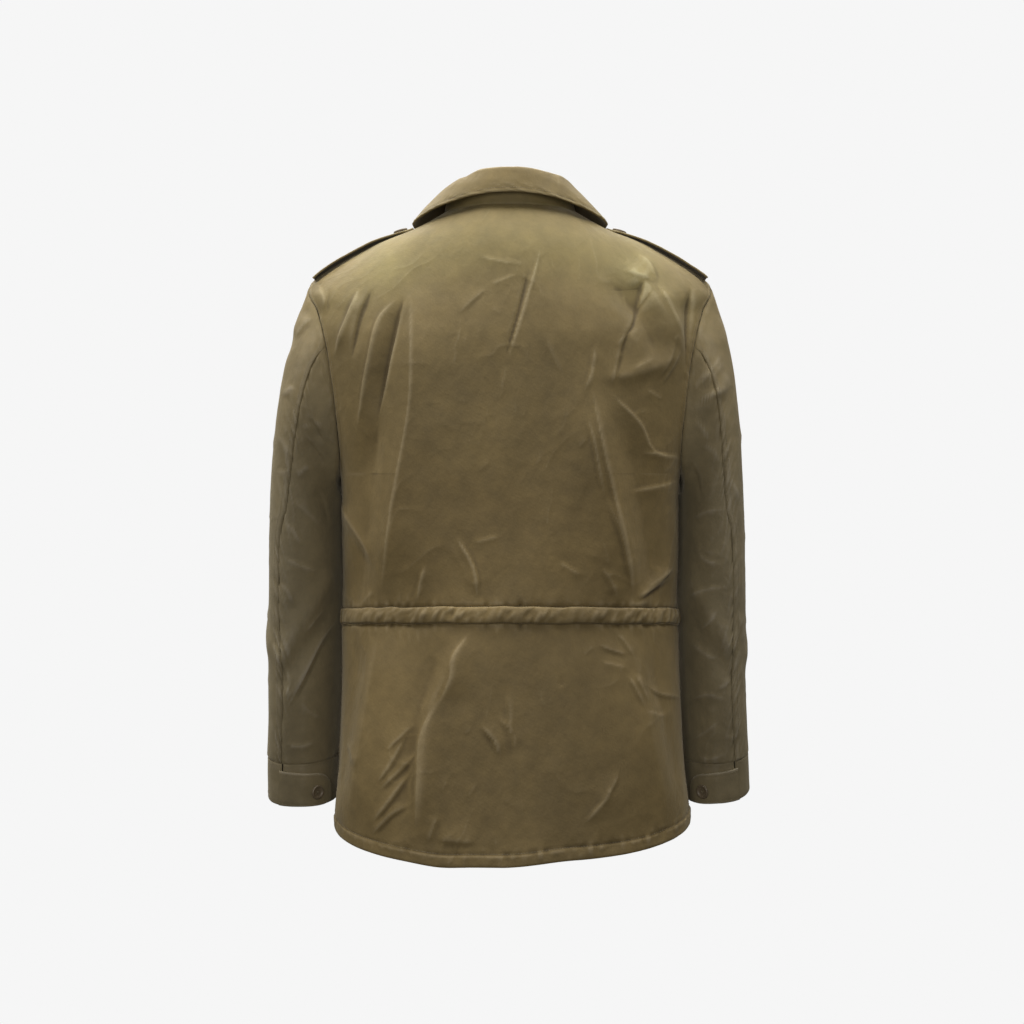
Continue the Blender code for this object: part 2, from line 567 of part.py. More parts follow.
# ------------------------------------------------------------------ build
def build_torso(coll):
    side_edge = lambda sign: (lambda t: sign * armhole_edge(t, ARMHOLE_BACK))
    points, out, phi, t = torso_grid(side_edge(-1), side_edge(1), BACK_COLUMNS)
    panel("back", points, out, ("first_column", "last_column", "last_row"), coll)
    grids = {"back": (phi, t)}
    for side, name in ((1, "front_left"), (-1, "front_right")):
        edge = lambda t, s=side: s * (180.0 - armhole_edge(t, ARMHOLE_FRONT))
        middle = lambda t, s=side: np.full_like(t, s * 180.0)
        first, last = (edge, middle) if side > 0 else (middle, edge)
        points, out, phi, t = torso_grid(first, last, FRONT_COLUMNS, front_side=1)
        panel(name, points, out, ("first_column", "last_column", "last_row"), coll)
        grids[name] = (phi, t)
    return grids


def build_channel(grids, coll):
    rows = [i for i, t in enumerate(torso_rows()) if abs(t - T_WAIST) <= CHANNEL_HALF + 1e-9]
    for panel_name, name in (("back", "waist_channel_back"),
                             ("front_left", "waist_channel_front_left"),
                             ("front_right", "waist_channel_front_right")):
        phi, t = (g[rows] for g in grids[panel_name])
        if panel_name != "back":
            x = np.abs(torso_plain(phi, t)[1, :, 0])
            keep = x > PLACKET_HALF_WIDTH + 0.012
            end = 0 if keep[-1] else -1
            stop = placket_edge(t[:, end], PLACKET_HALF_WIDTH + 0.004)
            phi, t = phi[:, keep], t[:, keep]
            phi = np.insert(phi, 0 if end == 0 else phi.shape[1],
                            np.sign(phi[:, 0]) * stop, axis=1)
            t = np.insert(t, 0, t[:, 0], axis=1)
        outer, foot = torso_strip(phi, t, LAP, CHANNEL_PUFF)
        sides = ("first_column", "last_column")
        loft(name, ease_edges(outer, sides), ease_edges(foot, sides), "cloth", coll)


def placket_edge(t, x):
    """Torso angle at the distance x from the centre front."""
    half, power = (along(column(RINGS, RING, n), t) for n in ("half", "power"))
    return 180.0 - np.degrees(np.arcsin((x / half) ** (power / 2)))


def build_placket(grids, coll):
    """The closing strip over the edges of both fronts, from neck to hem."""
    rows = torso_rows()[:-1]
    x = np.linspace(PLACKET_HALF_WIDTH, -PLACKET_HALF_WIDTH, 5)
    t = np.broadcast_to(rows[:, None], (len(rows), len(x)))
    away = 180.0 - placket_edge(t, np.abs(x)[None, :])
    phi = 180.0 - np.sign(x)[None, :] * away
    out = torso_up(phi, t)
    foot = torso(phi, t) + (LAP + 0.0016) * out
    loft("front_placket", foot + TRIM_WALL * out, foot, "trim", coll)
    top = foot + TRIM_WALL * out
    count = len(rows)
    for i in range(PLACKET_BUTTONS):
        k = 2 + round(i * (count - 6) / (PLACKET_BUTTONS - 1))
        button("front_button_%d" % (i + 1), top[k, 2] + LAP * out[k, 2], out[k, 2],
               np.array([0.0, 0.0, 1.0]), coll)


def build_sleeves(coll):
    for side, word in ((1, "left"), (-1, "right")):
        for which in ("top", "under"):
            points, out = sleeve_grid(side, which)
            panel("sleeve_%s_%s" % (word, which), points, out,
                  ("first_row", "last_row", "first_column", "last_column"), coll)
        columns = 2 * ARMHOLE_ROWS
        points, out = cuff_grid(side, TAB_FROM + 6.0, TAB_FROM + 364.0, columns,
                                0.0, 1.0, CUFF_ROWS, 0.0)
        panel("cuff_" + word, points, out, ("first_row", "first_column", "last_column"), coll)
        build_tab(side, word, coll)


def build_tab(side, word, coll):
    """The cuff's lapped end, rounded, lying on the cuff and buttoned to it."""
    columns = 12
    angle = np.linspace(TAB_FROM, TAB_TO, columns + 1)
    nose = np.clip((angle - (TAB_TO - 26.0)) / 26.0, 0, 1)
    rise = 1 - np.sqrt(np.clip(1 - nose ** 2, 0.06, 1))
    top = TAB_TOP + 0.34 * rise + 0.10 * np.linspace(0, 1, columns + 1)
    low = 0.975 - 0.12 * rise
    f = np.linspace(0, 1, 4)[:, None]
    r = 3.0 + top[None, :] * (1 - f) + low[None, :] * f
    aa = np.broadcast_to(angle[None, :], r.shape)
    out = sleeve_out(aa, r, side)
    foot = sleeve_plain(aa, r, side) + (LAP + 0.0005) * out
    loft("cuff_tab_" + word, foot + TRIM_WALL * out, foot, "trim", coll)
    a = np.array(CUFF_BUTTON_ANGLE)
    r = np.array(3.0 + CUFF_BUTTON_HEIGHT)
    out = sleeve_out(a, r, side)
    centre = sleeve_plain(a, r, side) + (2 * LAP + 0.0006 + TRIM_WALL) * out
    button("cuff_button_" + word, centre, out, np.array([0.0, 0.0, 1.0]), coll)


def build_collar(coll):
    phi = np.linspace(-180.0 + STAND_OPEN, 180.0 - STAND_OPEN, COLLAR_COLUMNS + 1)
    foot, top = collar_line("stand_foot", phi), collar_line("stand_top", phi)
    f = np.linspace(0, 1, STAND_ROWS + 1)[:, None, None]
    grid = foot * (1 - f) + top * f
    out = -grid_out(grid, 1.0)
    loft("collar_stand", grid, grid - WALL * out, "cloth", coll)
    phi = np.linspace(-180.0 + FALL_OPEN, 180.0 - FALL_OPEN, COLLAR_COLUMNS + 1)
    a, b, c = (collar_line(n, phi) for n in ("fall_start", "fall_crown", "fall_edge"))
    point = np.clip((np.abs(phi) - 120.0) / 51.0, 0, 1) ** 2
    c = c + point[:, None] * COLLAR_POINT * unit(c - b)
    crown = b * 2 - (a + c) / 2
    f = np.linspace(0, 1, FALL_ROWS + 1)[:, None, None]
    grid = (1 - f) ** 2 * a + 2 * f * (1 - f) * (b + 0.35 * (crown - b)) + f ** 2 * c
    out = -grid_out(grid, 1.0)
    loft("collar_fall", grid + 0.0006 * out, grid - (WALL - 0.0006) * out, "cloth", coll)


def build_straps(coll):
    """Shoulder straps: flat strips along the shoulder seam, from the armhole
    to under the collar's fall, buttoned at the neck end."""
    for side, word in ((1, "left"), (-1, "right")):
        x = np.linspace(STRAP_FROM, STRAP_TO, STRAP_ROWS + 1)
        ridge_t = np.linspace(T_TIP, T_NECK, 61)
        ridge = torso(np.full_like(ridge_t, side * 90.0), ridge_t)
        z = np.interp(-x, -np.abs(ridge[:, 0]), ridge[:, 2])
        f = (STRAP_FROM - x) / (STRAP_FROM - STRAP_TO)
        z = z + 0.0015 + STRAP_STAND * np.sin(np.pi * np.clip(f * 1.06, 0, 1) ** 0.8)
        width = STRAP_HALF_WIDTH * np.where(f > 0.9, 0.62, 1.0)
        v = np.linspace(-1, 1, 5)
        low = np.zeros((len(x), len(v), 3))
        low[..., 0] = side * x[:, None]
        low[..., 1] = v[None, :] * width[:, None] - 0.002
        low[..., 2] = z[:, None] - 0.0012 * (v[None, :] ** 2)
        out = grid_out(low, 1.0)
        out = out * np.sign(out[..., 2:3])
        loft("shoulder_strap_" + word, low + WALL * out, low, "trim", coll)
        k = int(np.argmin(np.abs(x - STRAP_BUTTON_X)))
        button("strap_button_" + word, low[k, 2] + (WALL + LAP) * out[k, 2],
               out[k, 2], np.array([0.0, 1.0, 0.0]), coll)


def main():
    for obj in list(bpy.data.objects):
        bpy.data.objects.remove(obj, do_unlink=True)
    coll = bpy.data.collections.new("bush_jacket")
    bpy.context.scene.collection.children.link(coll)
    grids = build_torso(coll)
    build_channel(grids, coll)
    build_placket(grids, coll)
    build_sleeves(coll)
    build_collar(coll)
    build_straps(coll)
    bpy.context.view_layer.update()


main()
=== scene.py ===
"""Looks of the bush jacket: cloth with its creases, seams, stitching and buttons.

The forms are those of the part's own source, repeated here on fine grids.  Each
cloth piece stands for its solid: a thin shell on the solid's form, with its
creases added from the tables below, in millimetres.
"""
import math

import bmesh
import bpy
import mathutils
import numpy as np
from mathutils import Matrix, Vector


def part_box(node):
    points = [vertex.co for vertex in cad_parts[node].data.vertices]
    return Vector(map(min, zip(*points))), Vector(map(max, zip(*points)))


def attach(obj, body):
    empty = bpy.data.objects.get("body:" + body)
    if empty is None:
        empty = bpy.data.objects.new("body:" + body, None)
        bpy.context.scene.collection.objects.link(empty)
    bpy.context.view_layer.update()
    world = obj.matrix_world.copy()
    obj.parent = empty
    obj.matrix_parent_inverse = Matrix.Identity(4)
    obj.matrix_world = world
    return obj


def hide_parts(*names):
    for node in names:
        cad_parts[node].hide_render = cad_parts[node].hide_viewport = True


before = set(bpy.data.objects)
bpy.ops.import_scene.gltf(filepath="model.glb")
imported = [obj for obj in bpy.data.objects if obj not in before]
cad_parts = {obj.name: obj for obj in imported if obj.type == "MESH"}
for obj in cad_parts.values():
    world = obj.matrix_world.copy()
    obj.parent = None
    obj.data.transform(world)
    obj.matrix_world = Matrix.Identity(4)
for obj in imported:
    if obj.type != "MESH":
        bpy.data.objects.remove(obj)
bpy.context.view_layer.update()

# ------------------------------------------------------------------ sizes
WALL = 0.0020
SHELL = 0.0017           # thickness of the shells drawn here
SEAM = 0.0003
LAP = 0.0004
TRIM_WALL = 0.0024
CHANNEL_HALF = 0.090
ARMHOLE_BACK = 24.0
ARMHOLE_FRONT = 30.0
ARMHOLE_LEAN = 0.25
BUTTON_DIAMETER = 0.0175
BUTTON_HEIGHT = 0.0032
PLACKET_HALF_WIDTH = 0.026
STRAP_HALF_WIDTH = 0.022

RING = ("name", "z_side", "z_back", "z_front", "x_mid", "half", "y_back", "y_front", "power", "z_power")
RINGS = [
    ("hem",          -0.737, -0.7682, -0.737, -0.0030, 0.2145, 0.137, -0.134, 2.50, 1.30),
    ("skirt",        -0.620, -0.632, -0.620, -0.0010, 0.2085, 0.133, -0.131, 2.50, 0.80),
    ("waist",        -0.486, -0.478, -0.489,  0.0000, 0.2030, 0.127, -0.124, 2.00, 1.00),
    ("ribs",         -0.400, -0.396, -0.400,  0.0000, 0.2045, 0.127, -0.131, 2.25, 1.00),
    ("underarm",     -0.315, -0.315, -0.315,  0.0000, 0.2060, 0.130, -0.138, 2.45, 1.00),
    ("chest",        -0.240, -0.243, -0.245,  0.0000, 0.2240, 0.132, -0.138, 2.25, 1.20),
    ("blades",       -0.160, -0.170, -0.180,  0.0000, 0.2380, 0.131, -0.128, 2.15, 1.40),
    ("upper_back",   -0.116, -0.136, -0.158,  0.0000, 0.2430, 0.128, -0.122, 1.95, 1.20),
    ("shoulder_tip", -0.082, -0.104, -0.136,  0.0000, 0.2410, 0.122, -0.115, 1.75, 1.00),
    ("shoulder",     -0.0395, -0.050, -0.112,  0.0000, 0.1700, 0.107, -0.107, 1.85, 1.50),
    ("collar_edge",  -0.019, -0.015, -0.092,  0.0000, 0.1180, 0.088, -0.098, 2.00, 2.00),
    ("neck",          0.001,  0.0035, -0.075,  0.0000, 0.0820, 0.0735, -0.090, 2.00, 2.00),
]
T_WAIST, T_UNDERARM, T_TIP, T_NECK = 2.0, 4.0, 8.0, 11.0
HEM_LIFT_RIGHT = 0.0066
HEM_DROP = (0.080, 0.028, 0.0024)       # middle, half width and depth of the hem's low place

SLEEVE_RING = ("name", "z", "cx", "rx", "cy", "ry", "tilt", "lean", "skew", "round")
SLEEVE_RINGS = {
    "left": [
        ("upper_arm", -0.360, 0.2466, 0.0432, -0.024, 0.073, 1.0, 0.0, 0.028, 0.90),
        ("elbow",     -0.465, 0.2476, 0.0440, -0.028, 0.069, 4.0, 0.0, 0.028, 0.90),
        ("forearm",   -0.570, 0.2502, 0.0430, -0.033, 0.065, 7.0, 0.0, 0.026, 0.89),
        ("cuff_top",  -0.6555, 0.2535, 0.0424, -0.041, 0.060, 8.5, 0.0, 0.020, 0.85),
        ("cuff_end",  -0.7080, 0.2548, 0.0416, -0.046, 0.058, 8.5, 0.0024, 0.018, 0.82),
    ],
    "right": [
        ("upper_arm", -0.360, 0.2432, 0.0390, -0.024, 0.074, 1.0, 0.0, 0.028, 0.90),
        ("elbow",     -0.465, 0.2448, 0.0402, -0.028, 0.070, 4.0, 0.0, 0.028, 0.90),
        ("forearm",   -0.570, 0.2464, 0.0398, -0.033, 0.066, 7.0, 0.0, 0.026, 0.89),
        ("cuff_top",  -0.6545, 0.2512, 0.0396, -0.041, 0.061, 8.5, 0.0050, 0.020, 0.85),
        ("cuff_end",  -0.7035, 0.2545, 0.0388, -0.046, 0.059, 8.5, 0.0078, 0.018, 0.82),
    ],
}
# The hind seam: degrees from the outer side to the back at the armhole, over
# the upper arm and from below the elbow to the cuff.
HIND_HEAD = 90.0
HIND_ARM = {"left": 52.0, "right": 60.0}
HIND_CUFF = {"left": 62.0, "right": 64.0}
FORE_SEAM = 234.0
HEAD_TOP = (0.28, 0.00, -0.95)
HEAD_BACK = (0.62, 0.30, -0.72)
HEAD_UNDER = (0.42, 0.00, -0.90)

# Folds of the torso: a line down the cloth through four places (x, z), the
# half widths on its wearer's-right and wearer's-left sides, and the height.
FOLD = ("name", "x1", "z1", "x2", "z2", "x3", "z3", "x4", "z4", "half_right", "half_left", "height")
BACK_FOLDS = [
    ("left_back_break",    0.116, -0.085, 0.1145, -0.210, 0.1335, -0.351, 0.1520, -0.480, 0.048, 0.013,  0.0065),
    ("left_side_valley",   0.119, -0.100, 0.1400, -0.165, 0.1560, -0.250, 0.1760, -0.345, 0.013, 0.014, -0.0060),
    ("left_flank_hollow",  0.158, -0.240, 0.1680, -0.340, 0.1780, -0.420, 0.1880, -0.500, 0.017, 0.022, -0.0065),
    ("left_skirt_break",   0.148, -0.480, 0.1580, -0.540, 0.1740, -0.640, 0.1920, -0.745, 0.046, 0.013,  0.0060),
    ("right_back_break",  -0.086, -0.170, -0.1170, -0.335, -0.1390, -0.450, -0.1440, -0.520, 0.015, 0.050, 0.0055),
    ("right_skirt_break", -0.134, -0.480, -0.1450, -0.540, -0.1680, -0.640, -0.1900, -0.745, 0.015, 0.046, 0.0055),
    ("left_skirt_hollow",  0.176, -0.490, 0.1860, -0.560, 0.1980, -0.640, 0.2060, -0.720, 0.014, 0.020, -0.0050),
    ("right_flank_hollow", -0.128, -0.230, -0.1520, -0.330, -0.1680, -0.420, -0.1740, -0.500, 0.022, 0.017, -0.0060),
    ("right_skirt_hollow", -0.164, -0.500, -0.1760, -0.560, -0.1940, -0.640, -0.2040, -0.710, 0.018, 0.014, -0.0045),
    ("skirt_slant",        0.046, -0.485, 0.0700, -0.545, 0.0960, -0.610, 0.1040, -0.750, 0.022, 0.011,  0.0050),
    ("skirt_dark_fold",    0.078, -0.500, 0.1060, -0.590, 0.1190, -0.660, 0.1240, -0.735, 0.012, 0.014, -0.0030),
    ("right_blade_ridge", -0.130, -0.060, -0.1700, -0.110, -0.1980, -0.150, -0.2080, -0.185, 0.011, 0.015, 0.0040),
    ("right_blade_hollow", -0.110, -0.080, -0.1400, -0.115, -0.1620, -0.150, -0.1760, -0.190, 0.012, 0.014, -0.0045),
    ("right_arm_pull",    -0.100, -0.205, -0.1400, -0.200, -0.1800, -0.185, -0.2050, -0.160, 0.012, 0.010, 0.0030),
    ("right_waist_fold",  -0.200, -0.410, -0.1800, -0.440, -0.1600, -0.462, -0.1300, -0.476, 0.010, 0.012, 0.0030),
]
FRONT_FOLDS = [
    ("left_front_drape",   0.120, -0.150, 0.1340, -0.240, 0.1400, -0.330, 0.1300, -0.450, 0.026, 0.014, 0.0050),
    ("right_front_drape", -0.128, -0.170, -0.1360, -0.260, -0.1380, -0.340, -0.1200, -0.455, 0.014, 0.026, 0.0045),
    ("left_front_skirt",   0.120, -0.500, 0.1340, -0.570, 0.1440, -0.650, 0.1500, -0.735, 0.026, 0.014, 0.0050),
    ("right_front_skirt", -0.132, -0.500, -0.1300, -0.580, -0.1360, -0.660, -0.1480, -0.735, 0.014, 0.024, 0.0050),
]
ARM_FOLD = ("name", "a1", "z1", "a2", "z2", "half", "height")
SLEEVE_FOLDS = {
    "left": [
        ("head_fold",   60.0, -0.125, 30.0, -0.160, 0.012, -0.0025),
        ("elbow_fold", 128.0, -0.440, 62.0, -0.530, 0.013,  0.0022),
        ("elbow_dip",  132.0, -0.475, 66.0, -0.560, 0.013, -0.0020),
        ("fore_fold",  -60.0, -0.450, 20.0, -0.520, 0.014,  0.0030),
    ],
    "right": [
        ("head_fold",   66.0, -0.205, 110.0, -0.235, 0.011, 0.0025),
        ("elbow_fold", 120.0, -0.450, 68.0, -0.520, 0.013,  0.0022),
        ("elbow_dip",  126.0, -0.490, 70.0, -0.555, 0.013, -0.0020),
        ("fore_fold",  -64.0, -0.470, 16.0, -0.530, 0.014,  0.0030),
    ],
}
COLLAR_LINES = [
    ("stand_foot", 0.0800, 0.0715, -0.0880, 0.0050, 0.0026, -0.0730, 2.00),
    ("stand_top",  0.0745, 0.0715, -0.0800, 0.0360, 0.0250, -0.0360, 2.00),
    ("fall_start", 0.0755, 0.0725, -0.0815, 0.0390, 0.0290, -0.0330, 2.00),
    ("fall_crown", 0.0830, 0.0775, -0.0880, 0.0505, 0.0290, -0.0310, 2.00),
    ("fall_edge",  0.1190, 0.0855, -0.1160, 0.0162, -0.0105, -0.0840, 2.00),
]
STAND_OPEN = 3.0
FALL_OPEN = 9.0
COLLAR_POINT = 0.010
TAB_FROM, TAB_TO = 60.0, 139.0
TAB_TOP = 0.12
CUFF_BUTTON_ANGLE = 111.5
CUFF_BUTTON_HEIGHT = 0.56
STRAP_FROM, STRAP_TO = 0.2375, 0.1165
STRAP_STAND = 0.0024
STRAP_BUTTON_X = 0.1316

# ------------------------------------------------------------------ creases
# Each crease is a line through two to five points, in mm, on the plane of the
# back as it is seen from EYE: how far right of the middle, and how far above
# the neck seam.  Then its half widths below or left of the line and above or
# right of it, its height (a trough is negative), the power of its profile
# (1 is sharp, 2 is round), and the shares of its length over which it fades.
EYE = (-0.0024, 2.43, -0.36)
CREASE_GAIN = 1.35
PLANE = 0.125
CREASE = ("name", "line", "low_side", "high_side", "height", "power", "fade_in", "fade_out")
BACK_CREASES = [
    ("left_break_line", [(-119, -98), (-116, -150), (-117, -236), (-136, -351), (-152, -462)], 1.8, 5.0, 1.5, 1.15, 0.05, 0.05),
    ("left_valley_1", [(-121, -104), (-131, -131), (-140, -164), (-150, -210), (-160, -262)], 5.5, 3.0, -3.6, 1.40, 0.10, 0.35),
    ("left_crest_2", [(-130, -110), (-154, -138), (-166, -190), (-174, -236), (-182, -272)], 3.5, 4.5, 3.2, 1.30, 0.15, 0.30),
    ("left_valley_2", [(-160, -98), (-172, -124), (-180, -152), (-186, -190)], 4.5, 4.5, -3.2, 1.40, 0.15, 0.30),
    ("left_crest_3", [(-176, -98), (-184, -124), (-196, -154), (-206, -184)], 3.5, 4.5, 3.0, 1.30, 0.20, 0.30),
    ("side_slant", [(-205, -341), (-186, -376), (-160, -426)], 2.0, 4.0, 1.8, 1.20, 0.20, 0.30),
    ("right_break_line", [(88, -206), (104, -290), (118, -350), (134, -430), (138, -464)], 1.8, 6.0, 1.4, 1.20, 0.15, 0.05),
    ("shoulder_l_ridge", [(-224, -96), (-217, -116), (-214, -134)], 4.6, 3.5, 1.5, 1.60, 0.20, 0.30),
    ("shoulder_l_cut", [(-211, -100), (-213, -116), (-218, -132)], 2.9, 3.5, -1.2, 1.40, 0.20, 0.30),
    ("blade_r_band", [(146, -62), (159, -76), (167, -94)], 8.1, 3.5, 1.8, 1.60, 0.30, 0.10),
    ("blade_r_ridge", [(167, -94), (180, -120), (194, -150), (199, -164)], 4.6, 4.6, 2.0, 1.40, 0.10, 0.30),
    ("blade_r_cut", [(165, -98), (149, -122), (139, -146), (130, -163), (114, -219)], 2.2, 3.0, -1.9, 1.20, 0.10, 0.40),
    ("blade_r_pocket", [(150, -90), (147, -112), (142, -140)], 7.0, 5.0, -3.6, 1.50, 0.05, 0.40),
    ("blade_r_brow", [(126, -80), (146, -89), (166, -94)], 2.0, 3.5, 1.5, 1.20, 0.30, 0.20),
    ("right_swoop", [(110, -220), (147, -256), (165, -290), (197, -299)], 5.0, 2.2, 1.7, 1.20, 0.20, 0.20),
    ("arm_r_pit", [(206, -98), (205, -124), (202, -168), (200, -200)], 4.5, 4.0, -5.0, 1.40, 0.05, 0.50),
    ("cross_r_1", [(118, -169), (136, -153), (150, -146)], 4.6, 1.8, 1.0, 1.30, 0.20, 0.30),
    ("cross_r_2", [(130, -165), (121, -192), (114, -219)], 3.5, 2.3, 1.1, 1.30, 0.20, 0.30),
    ("cross_r_3", [(136, -196), (151, -188), (167, -179)], 5.8, 2.1, 1.2, 1.30, 0.20, 0.30),
    ("cross_r_4", [(183, -163), (192, -154)], 2.9, 1.8, 0.8, 1.30, 0.30, 0.30),
    ("cross_r_5", [(195, -171), (182, -196), (169, -218)], 3.5, 2.3, 1.2, 1.30, 0.20, 0.30),
    ("cross_r_6", [(189, -158), (180, -185), (165, -212)], 2.9, 2.3, 0.9, 1.30, 0.30, 0.30),
    ("cross_r_7", [(152, -216), (165, -224), (177, -231)], 4.0, 1.8, 1.3, 1.30, 0.20, 0.30),
    ("cross_r_8", [(139, -247), (157, -242)], 2.9, 1.8, 0.8, 1.30, 0.30, 0.30),
    ("cross_r_9", [(148, -291), (173, -293), (199, -298)], 5.8, 2.3, 1.2, 1.40, 0.30, 0.20),
    ("cross_r_10", [(187, -300), (174, -317)], 2.9, 2.3, 0.9, 1.30, 0.30, 0.30),
    ("cross_r_11", [(134, -338), (167, -331), (199, -321)], 5.8, 2.9, 1.3, 1.40, 0.30, 0.20),
    ("centre_crest", [(34, -46), (27, -78), (15, -119), (1, -163), (-9, -197)], 2.2, 2.8, 1.5, 1.10, 0.20, 0.30),
    ("centre_groove", [(21, -72), (16, -92), (7, -130), (-3, -165), (-10, -188)], 2.2, 2.2, -1.3, 1.20, 0.20, 0.30),
    ("centre_tail", [(-5, -185), (-12, -214), (-15, -237)], 3.5, 3.5, 0.6, 1.40, 0.40, 0.50),
    ("neck_1", [(-10, -66), (17, -76)], 3.5, 2.1, 0.9, 1.30, 0.30, 0.30),
    ("neck_2", [(-41, -64), (-14, -70), (10, -75)], 4.0, 2.3, 0.8, 1.30, 0.30, 0.30),
    ("neck_3", [(-29, -98), (-9, -91), (10, -83)], 3.5, 2.1, 1.0, 1.30, 0.30, 0.30),
    ("neck_4", [(-27, -101), (-46, -116), (-65, -135)], 3.5, 2.3, 1.0, 1.30, 0.20, 0.40),
    ("neck_5", [(-24, -123), (-12, -134)], 2.3, 2.3, 0.7, 1.30, 0.30, 0.30),
    ("mid_r_1", [(96, -165), (91, -200), (80, -224)], 3.5, 4.6, 1.3, 1.30, 0.20, 0.30),
    ("mid_r_2", [(36, -149), (46, -176), (62, -208)], 5.8, 5.8, 0.8, 1.70, 0.40, 0.40),
    ("mid_r_long_a", [(84, -246), (93, -279), (101, -324), (107, -350)], 3.5, 8.1, 1.5, 1.40, 0.20, 0.30),
    ("mid_r_long_b", [(104, -339), (123, -382), (134, -430), (137, -464)], 4.6, 8.1, 1.7, 1.50, 0.20, 0.10),
    ("mid_r_3", [(86, -274), (75, -287)], 2.9, 2.3, 0.8, 1.30, 0.30, 0.30),
    ("mid_1", [(-24, -300), (-41, -315)], 2.9, 2.3, 0.8, 1.30, 0.30, 0.30),
    ("low_r_1", [(52, -415), (67, -425), (83, -434)], 4.6, 2.3, 1.2, 1.30, 0.30, 0.30),
    ("low_r_2", [(101, -423), (113, -441), (121, -463)], 3.5, 3.5, 1.2, 1.30, 0.30, 0.10),
    ("low_r_3", [(186, -423), (165, -444), (138, -459)], 5.8, 2.3, 1.6, 1.30, 0.20, 0.20),
    ("low_r_4", [(183, -429), (166, -448), (143, -461)], 2.3, 3.5, -1.2, 1.30, 0.20, 0.20),
    ("side_l_1", [(-206, -346), (-187, -381), (-161, -429)], 5.8, 5.8, 1.6, 1.60, 0.20, 0.30),
    ("low_l_1", [(-99, -419), (-105, -441), (-109, -463)], 3.5, 3.5, 1.8, 1.40, 0.35, 0.05),
    ("low_l_2", [(-66, -385), (-48, -415), (-41, -436), (-39, -463)], 4.0, 2.9, 1.8, 1.30, 0.25, 0.05),
    ("low_l_3", [(-46, -396), (-29, -391), (-10, -387)], 3.5, 2.3, 1.0, 1.30, 0.30, 0.30),
    ("chan_v_1", [(-197, -450), (-191, -459), (-182, -466)], 2.9, 2.9, 1.2, 1.40, 0.20, 0.10),
    ("chan_v_2", [(-161, -448), (-168, -458), (-176, -466)], 2.9, 2.9, 1.2, 1.40, 0.20, 0.10),
    ("skirt_big_a", [(-46, -495), (-67, -527), (-70, -552), (-86, -586)], 4.6, 10.4, 2.0, 1.40, 0.05, 0.30),
    ("skirt_big_b", [(-77, -565), (-104, -619), (-107, -668), (-112, -740)], 5.8, 10.4, 1.8, 1.50, 0.20, 0.10),
    ("skirt_l_3", [(-111, -602), (-128, -619), (-146, -638)], 3.5, 2.9, 1.1, 1.30, 0.30, 0.30),
    ("skirt_l_4", [(-108, -635), (-131, -660), (-154, -685)], 4.6, 2.9, 1.4, 1.40, 0.20, 0.30),
    ("skirt_l_5", [(-116, -697), (-139, -709), (-164, -736)], 4.6, 2.9, 1.4, 1.40, 0.20, 0.30),
    ("skirt_l_6", [(-84, -706), (-91, -724), (-98, -745)], 4.0, 3.5, 1.3, 1.40, 0.20, 0.20),
    ("skirt_c_1", [(-37, -604), (-28, -615), (-20, -625), (-13, -646)], 2.9, 4.6, 1.6, 1.20, 0.15, 0.25),
    ("skirt_c_2", [(-46, -608), (-56, -618)], 2.9, 2.3, 0.8, 1.30, 0.30, 0.30),
    ("skirt_c_3", [(-74, -667), (-82, -685)], 2.9, 2.3, 0.8, 1.30, 0.30, 0.30),
    ("skirt_c_4", [(-40, -672), (-52, -691)], 2.9, 2.3, 0.8, 1.30, 0.30, 0.30),
    ("skirt_c_5", [(-6, -563), (-3, -590), (-1, -618)], 3.5, 4.6, 0.7, 1.60, 0.40, 0.40),
    ("hem_bulge", [(-88, -736), (-62, -739), (-37, -740)], 6.9, 9.2, 1.6, 1.80, 0.30, 0.30),
    ("puff_l", [(-194, -623), (-184, -637), (-176, -655)], 4.6, 4.6, 1.6, 1.60, 0.30, 0.30),
    ("skirt_r_1", [(96, -512), (80, -528)], 3.5, 2.3, 1.0, 1.30, 0.30, 0.30),
    ("skirt_r_2", [(99, -532), (115, -535), (133, -540)], 4.0, 2.1, 1.1, 1.30, 0.30, 0.30),
    ("skirt_r_3", [(130, -546), (141, -565), (151, -587)], 2.9, 2.9, 1.4, 1.30, 0.20, 0.20),
    ("skirt_r_4", [(137, -544), (148, -563), (157, -581)], 2.3, 2.9, 1.0, 1.30, 0.20, 0.30),
    ("skirt_r_5", [(150, -588), (167, -592), (186, -595)], 4.6, 1.8, 1.4, 1.30, 0.20, 0.30),
    ("skirt_r_6", [(106, -672), (111, -687), (98, -702), (81, -722)], 3.5, 4.0, 1.4, 1.30, 0.20, 0.30),
    ("skirt_r_7", [(30, -565), (38, -587)], 2.9, 2.9, 0.8, 1.40, 0.30, 0.30),
    ("skirt_r_8", [(51, -558), (63, -558)], 3.5, 3.5, -0.9, 1.60, 0.30, 0.30),
    ("waist_r_1", [(138, -462), (158, -451), (186, -434)], 2.2, 4.4, 2.2, 1.20, 0.10, 0.20),
    ("waist_r_2", [(150, -449), (168, -438), (188, -424)], 2.2, 3.8, 1.5, 1.25, 0.10, 0.20),
    ("skirt_r_1", [(96, -512), (116, -520), (136, -526)], 2.4, 3.6, 1.4, 1.25, 0.20, 0.30),
    ("skirt_r_2", [(118, -498), (130, -512), (140, -530)], 2.4, 3.6, 1.4, 1.25, 0.20, 0.30),
    ("skirt_r_3", [(152, -560), (176, -570), (200, -574)], 2.4, 3.8, 1.4, 1.25, 0.20, 0.30),
    ("skirt_l_1", [(-162, -720), (-142, -696), (-118, -660)], 2.4, 4.0, 1.8, 1.25, 0.15, 0.25),
    ("skirt_l_2", [(-156, -676), (-138, -650), (-120, -612)], 2.4, 3.8, 1.4, 1.25, 0.15, 0.25),
